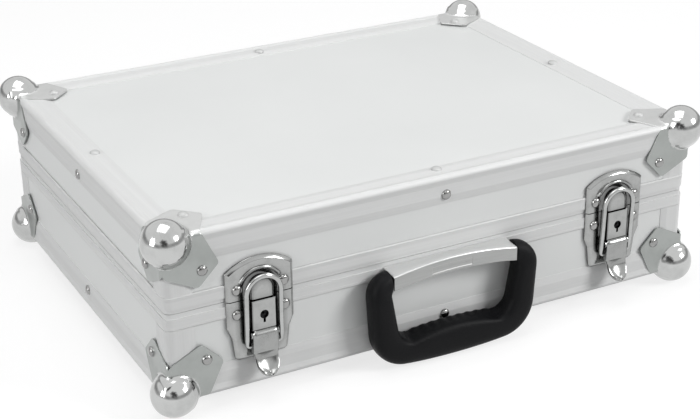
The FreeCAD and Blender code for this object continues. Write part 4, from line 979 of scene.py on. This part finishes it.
# %% The folded lever
def lever_form():
    """Rows of points down the lever: barrel, face, step and tongue, with cheeks along both sides."""
    half, hollow, barrel, tongue_out, tongue_down = 7.5, 2.1, 2.7, 7.1, 12.8
    tip_start, tip_radius_squared = -18.0, 45.6
    side = arc(0, 0, barrel, radians(30), pi, 10)
    side += [(-2.7, -3), (-2.7, -7), (-2.7, -10.3), (-2.6, -10.9), (-2.2, -11.5), (-2.15, -12.2)]
    for share in np.linspace(0, 1, 15)[1:]:
        side.append((-2.15 - tongue_out * share**1.7, -12.2 - tongue_down * share))
    right = [0.25, 0.5, 0.75, 0.9, 0.97, 1]
    across = [-u for u in right[::-1]] + [0] + right
    points = []
    for y, z in side:
        into = max(0.0, tip_start - z)
        width = min(half, 0.8 + sqrt(max(tip_radius_squared - into**2, 0.0)))
        dish = hollow * np.clip((-z - 11.5) / 5, 0, 1)
        cheek = np.clip((12.5 + z) / 1.5, 0, 1) if z < 1.5 else 0
        face = [(width * u, y + 5.5 * max(0.0, abs(u) - 0.9) + dish * (1 - u * u), z) for u in across]
        outer, inner = y + 3.6 * cheek, y + 1.6 * cheek
        points += [(-width, outer, z), (-width, inner, z), *face, (width, inner, z), (width, outer, z)]
    return points, grid_faces(len(side), len(across) + 4)


# %% Fit them to both latches
for side, x in LATCHES.items():
    bail = piece_from(side + "_bail_wire", *bail_form(), wire_nickel, crease=50)
    lean, foot = Matrix.Rotation(radians(2.4), 4, "X"), Vector((x, LEVER_AXIS[0], LEVER_AXIS[1] - 7.7))
    bail.matrix_world = Matrix.Translation(foot * MM) @ lean
    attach(bail, side + "_bail")
    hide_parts(side + "_latch_bail")
    lever = piece_from(side + "_lever_folded", *lever_form(), lever_nickel, crease=40)
    lever.matrix_world = Matrix.Translation(Vector((x, *LEVER_AXIS)) * MM)
    fold_sheet(lever, 1.2, 0.25)
    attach(lever, side + "_lever")
    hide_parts(side + "_latch_lever")

# %% [markdown]
# ## Handle bracket
# The bracket is a folded sheet: its back edge lies straight on the case, its front edge is arched,
# so the roof between them is a ruled surface. A row of the same folded profile at each place along
# the length makes it, with a shallow pressed window in the front face, left plain.


# %% The folded sheet
def bracket_form():
    half, depth, bend, back = 46.0, 15.0, 1.3, 57.6
    front, front_arch, foot, foot_arch = 56.5, 5.2, 47.0, 4.4
    start, end, ramp = -18.5, 12.0, 0.35
    window = {start, start + ramp, end - ramp, end}
    xs = sorted(set(np.round(np.linspace(-half, half, 47), 3)) | window)
    flat, points = depth - bend, []
    for x in xs:
        curve = 1 - (x / half) ** 2
        fall, bottom = (front + front_arch * curve - back) / depth, foot + foot_arch * curve
        row = [(-share * flat, back + share * flat * fall) for share in (0, 0.02, 0.25, 0.5, 0.75, 0.98)]
        row += arc(-flat, back + flat * fall - bend, bend, pi / 2, pi, 6)[1:]
        face_top = row[-1][1]
        for share in (0.06, 0.26, 0.30, 0.34, 0.6, 0.76, 0.80, 0.84, 0.98, 1.0):
            sunk = ramp if start < x < end and 0.28 < share < 0.82 else 0.0
            row.append((-depth + sunk, face_top - share * (face_top - bottom)))
        points += [(x, y, z) for y, z in row]
    return points, grid_faces(len(xs), len(points) // len(xs))


# %% The back strip on the case and the two lugs for the pins
def bracket_inside():
    half, foot, top = 46, 44, 57.4
    outline = rounded([(-half, foot, 1), (half, foot, 1), (half, top, 0.5), (-half, top, 0.5)], 3)
    rim = [(0, 0), (0, 1.0), (0.2, 1.2), (0.4, 1.2)]
    strip = [(x, -height, z) for distance, height in rim for x, z in inset(outline, distance)]
    lug = ((-1.0, 49.6), (-13.9, 49.6), (-13.9, 55.4), (-1.0, 56.5))
    lugs = [([(side * x, y, z) for x in (31.5, 34.5) for y, z in lug], tube_faces(2, 4)) for side in (-1, 1)]
    return joined((strip, tube_faces(len(rim), len(outline))), *lugs)


# %% Fit the bracket
roof = piece_from("bracket_folded_sheet", *moved(bracket_form(), 0, FRONT, FLOOR), bracket_satin, crease=40)
roof.data.materials.append(bracket_painted_light)
for face in roof.data.polygons:
    # level faces of the roof get the paler copy: painted light
    face.material_index = int(abs(face.normal.z) > LEVEL)
fold_sheet(roof, 1.1, 0.2)
lugs = piece_from("bracket_strip_and_lugs", *moved(bracket_inside(), 0, FRONT, FLOOR), bracket_satin, crease=30)
for piece in (roof, lugs):
    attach(piece, "base")
    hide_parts("handle_bracket")

# %% [markdown]
# ## Handle
# The handle is one moulding in black plastic. It leaves the bracket sideways on round bosses, turns
# down into two thick legs, and closes in a deep grip with finger waves along its inner back edge.
# Two lines, the outer and the inner edge, are walked together, and a rounded section is set between
# them at every step. That keeps control of the width everywhere.


# %% The two edges of the handle
def line_between(a, b, count):
    return [tuple(p) for p in np.linspace(a, b, count + 1)[:-1]]


def handle_edges():
    """Half of the handle, from the bracket's end to the middle of the grip, seen from the front."""
    reach, foot, sag, opening, grip, hump = 61.6, 59.0, 3.8, 41.0, 20.6, 2.8
    sweep = (foot**2 + sag**2) / (2 * sag)

    def bottom(x):
        return sweep - reach - sqrt(sweep**2 - x**2)

    def towards_middle(x):
        return np.linspace(x, 0, 24)[1:]

    shoulder = rounded([(30, 7.4, 0), (63.6, 7.4, 14.9), (59, sag - reach, 0)], 9)[1:11]
    corner = rounded([(63.3, -7.5, 0), (59, sag - reach, 25), (24, bottom(24), 0)], 15)[1:17]
    outer = line_between((46.6, 7.4), (48.4, 7.4), 2) + [tuple(p) for p in shoulder]
    outer += line_between(shoulder[-1], corner[0], 12)[1:] + [tuple(p) for p in corner]
    x_end, z_end = corner[-1]
    step = z_end - bottom(x_end)
    outer += [(x, bottom(x) + step * (x / x_end) ** 4) for x in towards_middle(x_end)]
    top = grip + hump - reach
    bend = rounded([(46.4, -12, 0), (opening, grip - reach, 10.8), (0, top, 0)], 15)[1:17]
    inner = line_between((46.6, -7.4), (46.4, -12.0), 12) + line_between((46.4, -12.0), bend[0], 11)
    inner += [tuple(p) for p in bend]
    x_end, z_end = bend[-1]
    lift = top - hump * (x_end / opening) ** 2 - z_end
    inner += [(x, top - hump * (x / opening) ** 2 - lift * (x / x_end) ** 6) for x in towards_middle(x_end)]
    return np.array(outer), np.array(inner)


# %% The moulding
def handle_form(around=28):
    """Sections between the two edges. They turn from round bosses to a squarer grip with waves."""
    outer, inner = handle_edges()
    bend_steps, grip_start, grip_steps, pitch = 12, 26, 14, 7.6
    count, points = len(outer), []
    walk = [*range(count), *range(count - 2, -1, -1)]
    for index, step in enumerate(walk):
        mirror = 1 if index < count else -1
        centre, across = (outer[step] + inner[step]) / 2, (outer[step] - inner[step]) / 2
        bend = np.clip(step / bend_steps, 0, 1)
        bend = bend * bend * (3 - 2 * bend)
        deep, shift = 7.5 + 0.5 * bend, -2.2 * bend
        grip = np.clip((step - grip_start) / grip_steps, 0, 1)
        wave = grip * (0.5 + 0.5 * cos(2 * pi * centre[0] / pitch))
        ridge = 0.02 + 0.30 * min(1.0, abs(centre[0]) / 36.0) ** 2
        for u, v in squared(around, 2.0 + 1.1 * bend):
            back = np.clip((v + 0.15) / 0.5, 0, 1)
            lift = grip * max(0.0, -u) ** 2 * (back * (0.05 + 0.08 * wave) - (1 - back) * ridge)
            x, z = centre + across * (u - lift)
            points.append((mirror * x, deep * v + shift, z))
    return points, tube_faces(len(walk), around)


grip_piece = piece_from("handle_moulding", *moved(handle_form(), 0, *HANDLE_AXIS), moulded, crease=60)
rounder = grip_piece.modifiers.new("rounder", "SUBSURF")
rounder.levels = rounder.render_levels = 1


# %% Round bosses that join the handle's legs to the bracket's ends, inside the roof
def boss_form():
    turned_ends = ((36.6, 3.4), (37.2, 4.0), (46.0, 4.0), (47.2, 4.0))
    return joined(*(
        ([(side * x, y, z) for x, radius in turned_ends for y, z in circle(radius, 24)], tube_faces(4, 24))
        for side in (-1, 1)
    ))


bosses = piece_from("handle_bosses", *moved(boss_form(), 0, *HANDLE_AXIS), moulded, crease=40)
for piece in (grip_piece, bosses):
    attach(piece, "handle")
    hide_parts("handle_grip")

# %% [markdown]
# ## Foam
# The inside is cut from charcoal foam: a pad on the floor, ribs that part the microphones, walls round
# two bays for accessories, and a convoluted sheet in the lid that presses on the microphones. Cut foam
# has soft edges and swells a little between its corners, so each block is a box with rounded edges,
# divided finely and eased by a small swell.


# %% A soft cut block
def foam_block(bottom, top, swell, corner=1.2, step=9.0):
    """A box with rounded edges as rows of points, in millimetres."""
    size, centre = top - bottom, (bottom + top) / 2
    form = bmesh.new()
    bmesh.ops.create_cube(form, size=1.0)
    for vert in form.verts:
        vert.co = Vector(centre + size * np.array(vert.co))
    bmesh.ops.bevel(form, geom=form.edges[:], offset=corner, segments=3, profile=0.5, affect="EDGES")
    for axis in range(3):
        cuts = int(size[axis] // step)
        normal = np.eye(3)[axis]
        for cut in range(1, cuts):
            spot = bottom + normal * size[axis] * cut / cuts
            geometry = form.verts[:] + form.edges[:] + form.faces[:]
            bmesh.ops.bisect_plane(form, geom=geometry, plane_co=Vector(spot), plane_no=Vector(normal))
    for vert in form.verts:
        place = (np.array(vert.co) - centre) / (size / 2)
        still = 1 - place**4
        hold = np.roll(still, 1) * np.roll(still, 2)
        place -= np.sign(place) * (1 - hold) * np.minimum(1.0, place**2) * swell / (size / 2)
        vert.co = Vector(centre + place * size / 2)
    form.verts.index_update()
    points = [tuple(vert.co) for vert in form.verts]
    faces = [tuple(vert.index for vert in face.verts) for face in form.faces]
    form.free()
    return points, faces


# %% Where the measured foam has its blocks
def solid_blocks(node):
    """The boxes of a node's separate solids, from its mesh, in millimetres."""
    form = bmesh.new()
    form.from_mesh(nodes[node].data)
    bmesh.ops.remove_doubles(form, verts=form.verts, dist=1e-6)
    left, boxes = set(form.verts), []
    while left:
        queue, spots = [left.pop()], []
        while queue:
            vert = queue.pop()
            spots.append(np.array(vert.co) / MM)
            beside = {edge.other_vert(vert) for edge in vert.link_edges} & left
            left -= beside
            queue += beside
        boxes.append((np.min(spots, axis=0), np.max(spots, axis=0)))
    form.free()
    return sorted(boxes, key=lambda box: tuple(box[0]))


# %% Base foam
for node in ("foam_floor_pad", "foam_microphone_ribs", "foam_cross_walls", "foam_bay_walls"):
    boxes = solid_blocks(node)
    blocks = [foam_block(bottom, top, swell=0.3 if "pad" in node else 0.45) for bottom, top in boxes]
    piece = piece_from(node + "_cut", *joined(*blocks), foam, crease=60)
    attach(piece, "base")
    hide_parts(node)
    print(node, len(boxes), "blocks")


# %% Convoluted foam in the lid
def convoluted_sheet():
    """Humps in both directions below a flat back, a little thinner towards the rim of the sheet."""
    (left, front, foot), (right, back, roof) = low("lid_foam"), high("lid_foam")
    wave, deep, rim_rise, rim_run, columns, rows = 27.0, 13.0, 1.4, 1.2, 113, 85
    x, y = np.meshgrid(np.linspace(left, right, columns), np.linspace(front, back, rows), indexing="ij")
    hump = np.cos(2 * pi * (x - x.mean()) / wave) * np.cos(2 * pi * (y - y.mean()) / wave)
    rim = np.minimum(np.minimum(x - left, right - x), np.minimum(y - front, back - y))
    z = foot + deep * (0.5 - 0.5 * hump) + rim_rise * np.exp(-rim / rim_run)
    under, at = np.stack((x, y, z), axis=-1), np.arange(columns * rows).reshape(columns, rows)
    edge = np.r_[at[:, 0], at[-1, 1:], at[-2::-1, -1], at[0, -2:0:-1]].tolist()
    points = under.reshape(-1, 3).tolist()
    size, count = len(edge), len(points)
    points += [(*points[index][:2], roof) for index in edge]
    faces = grid_faces(columns, rows) + [tuple(range(count, count + size))]
    faces += [(edge[k], edge[(k + 1) % size], count + (k + 1) % size, count + k) for k in range(size)]
    return points, faces


lid_foam = piece_from("lid_foam_convoluted", *convoluted_sheet(), foam, crease=60)
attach(lid_foam, "lid")
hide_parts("lid_foam")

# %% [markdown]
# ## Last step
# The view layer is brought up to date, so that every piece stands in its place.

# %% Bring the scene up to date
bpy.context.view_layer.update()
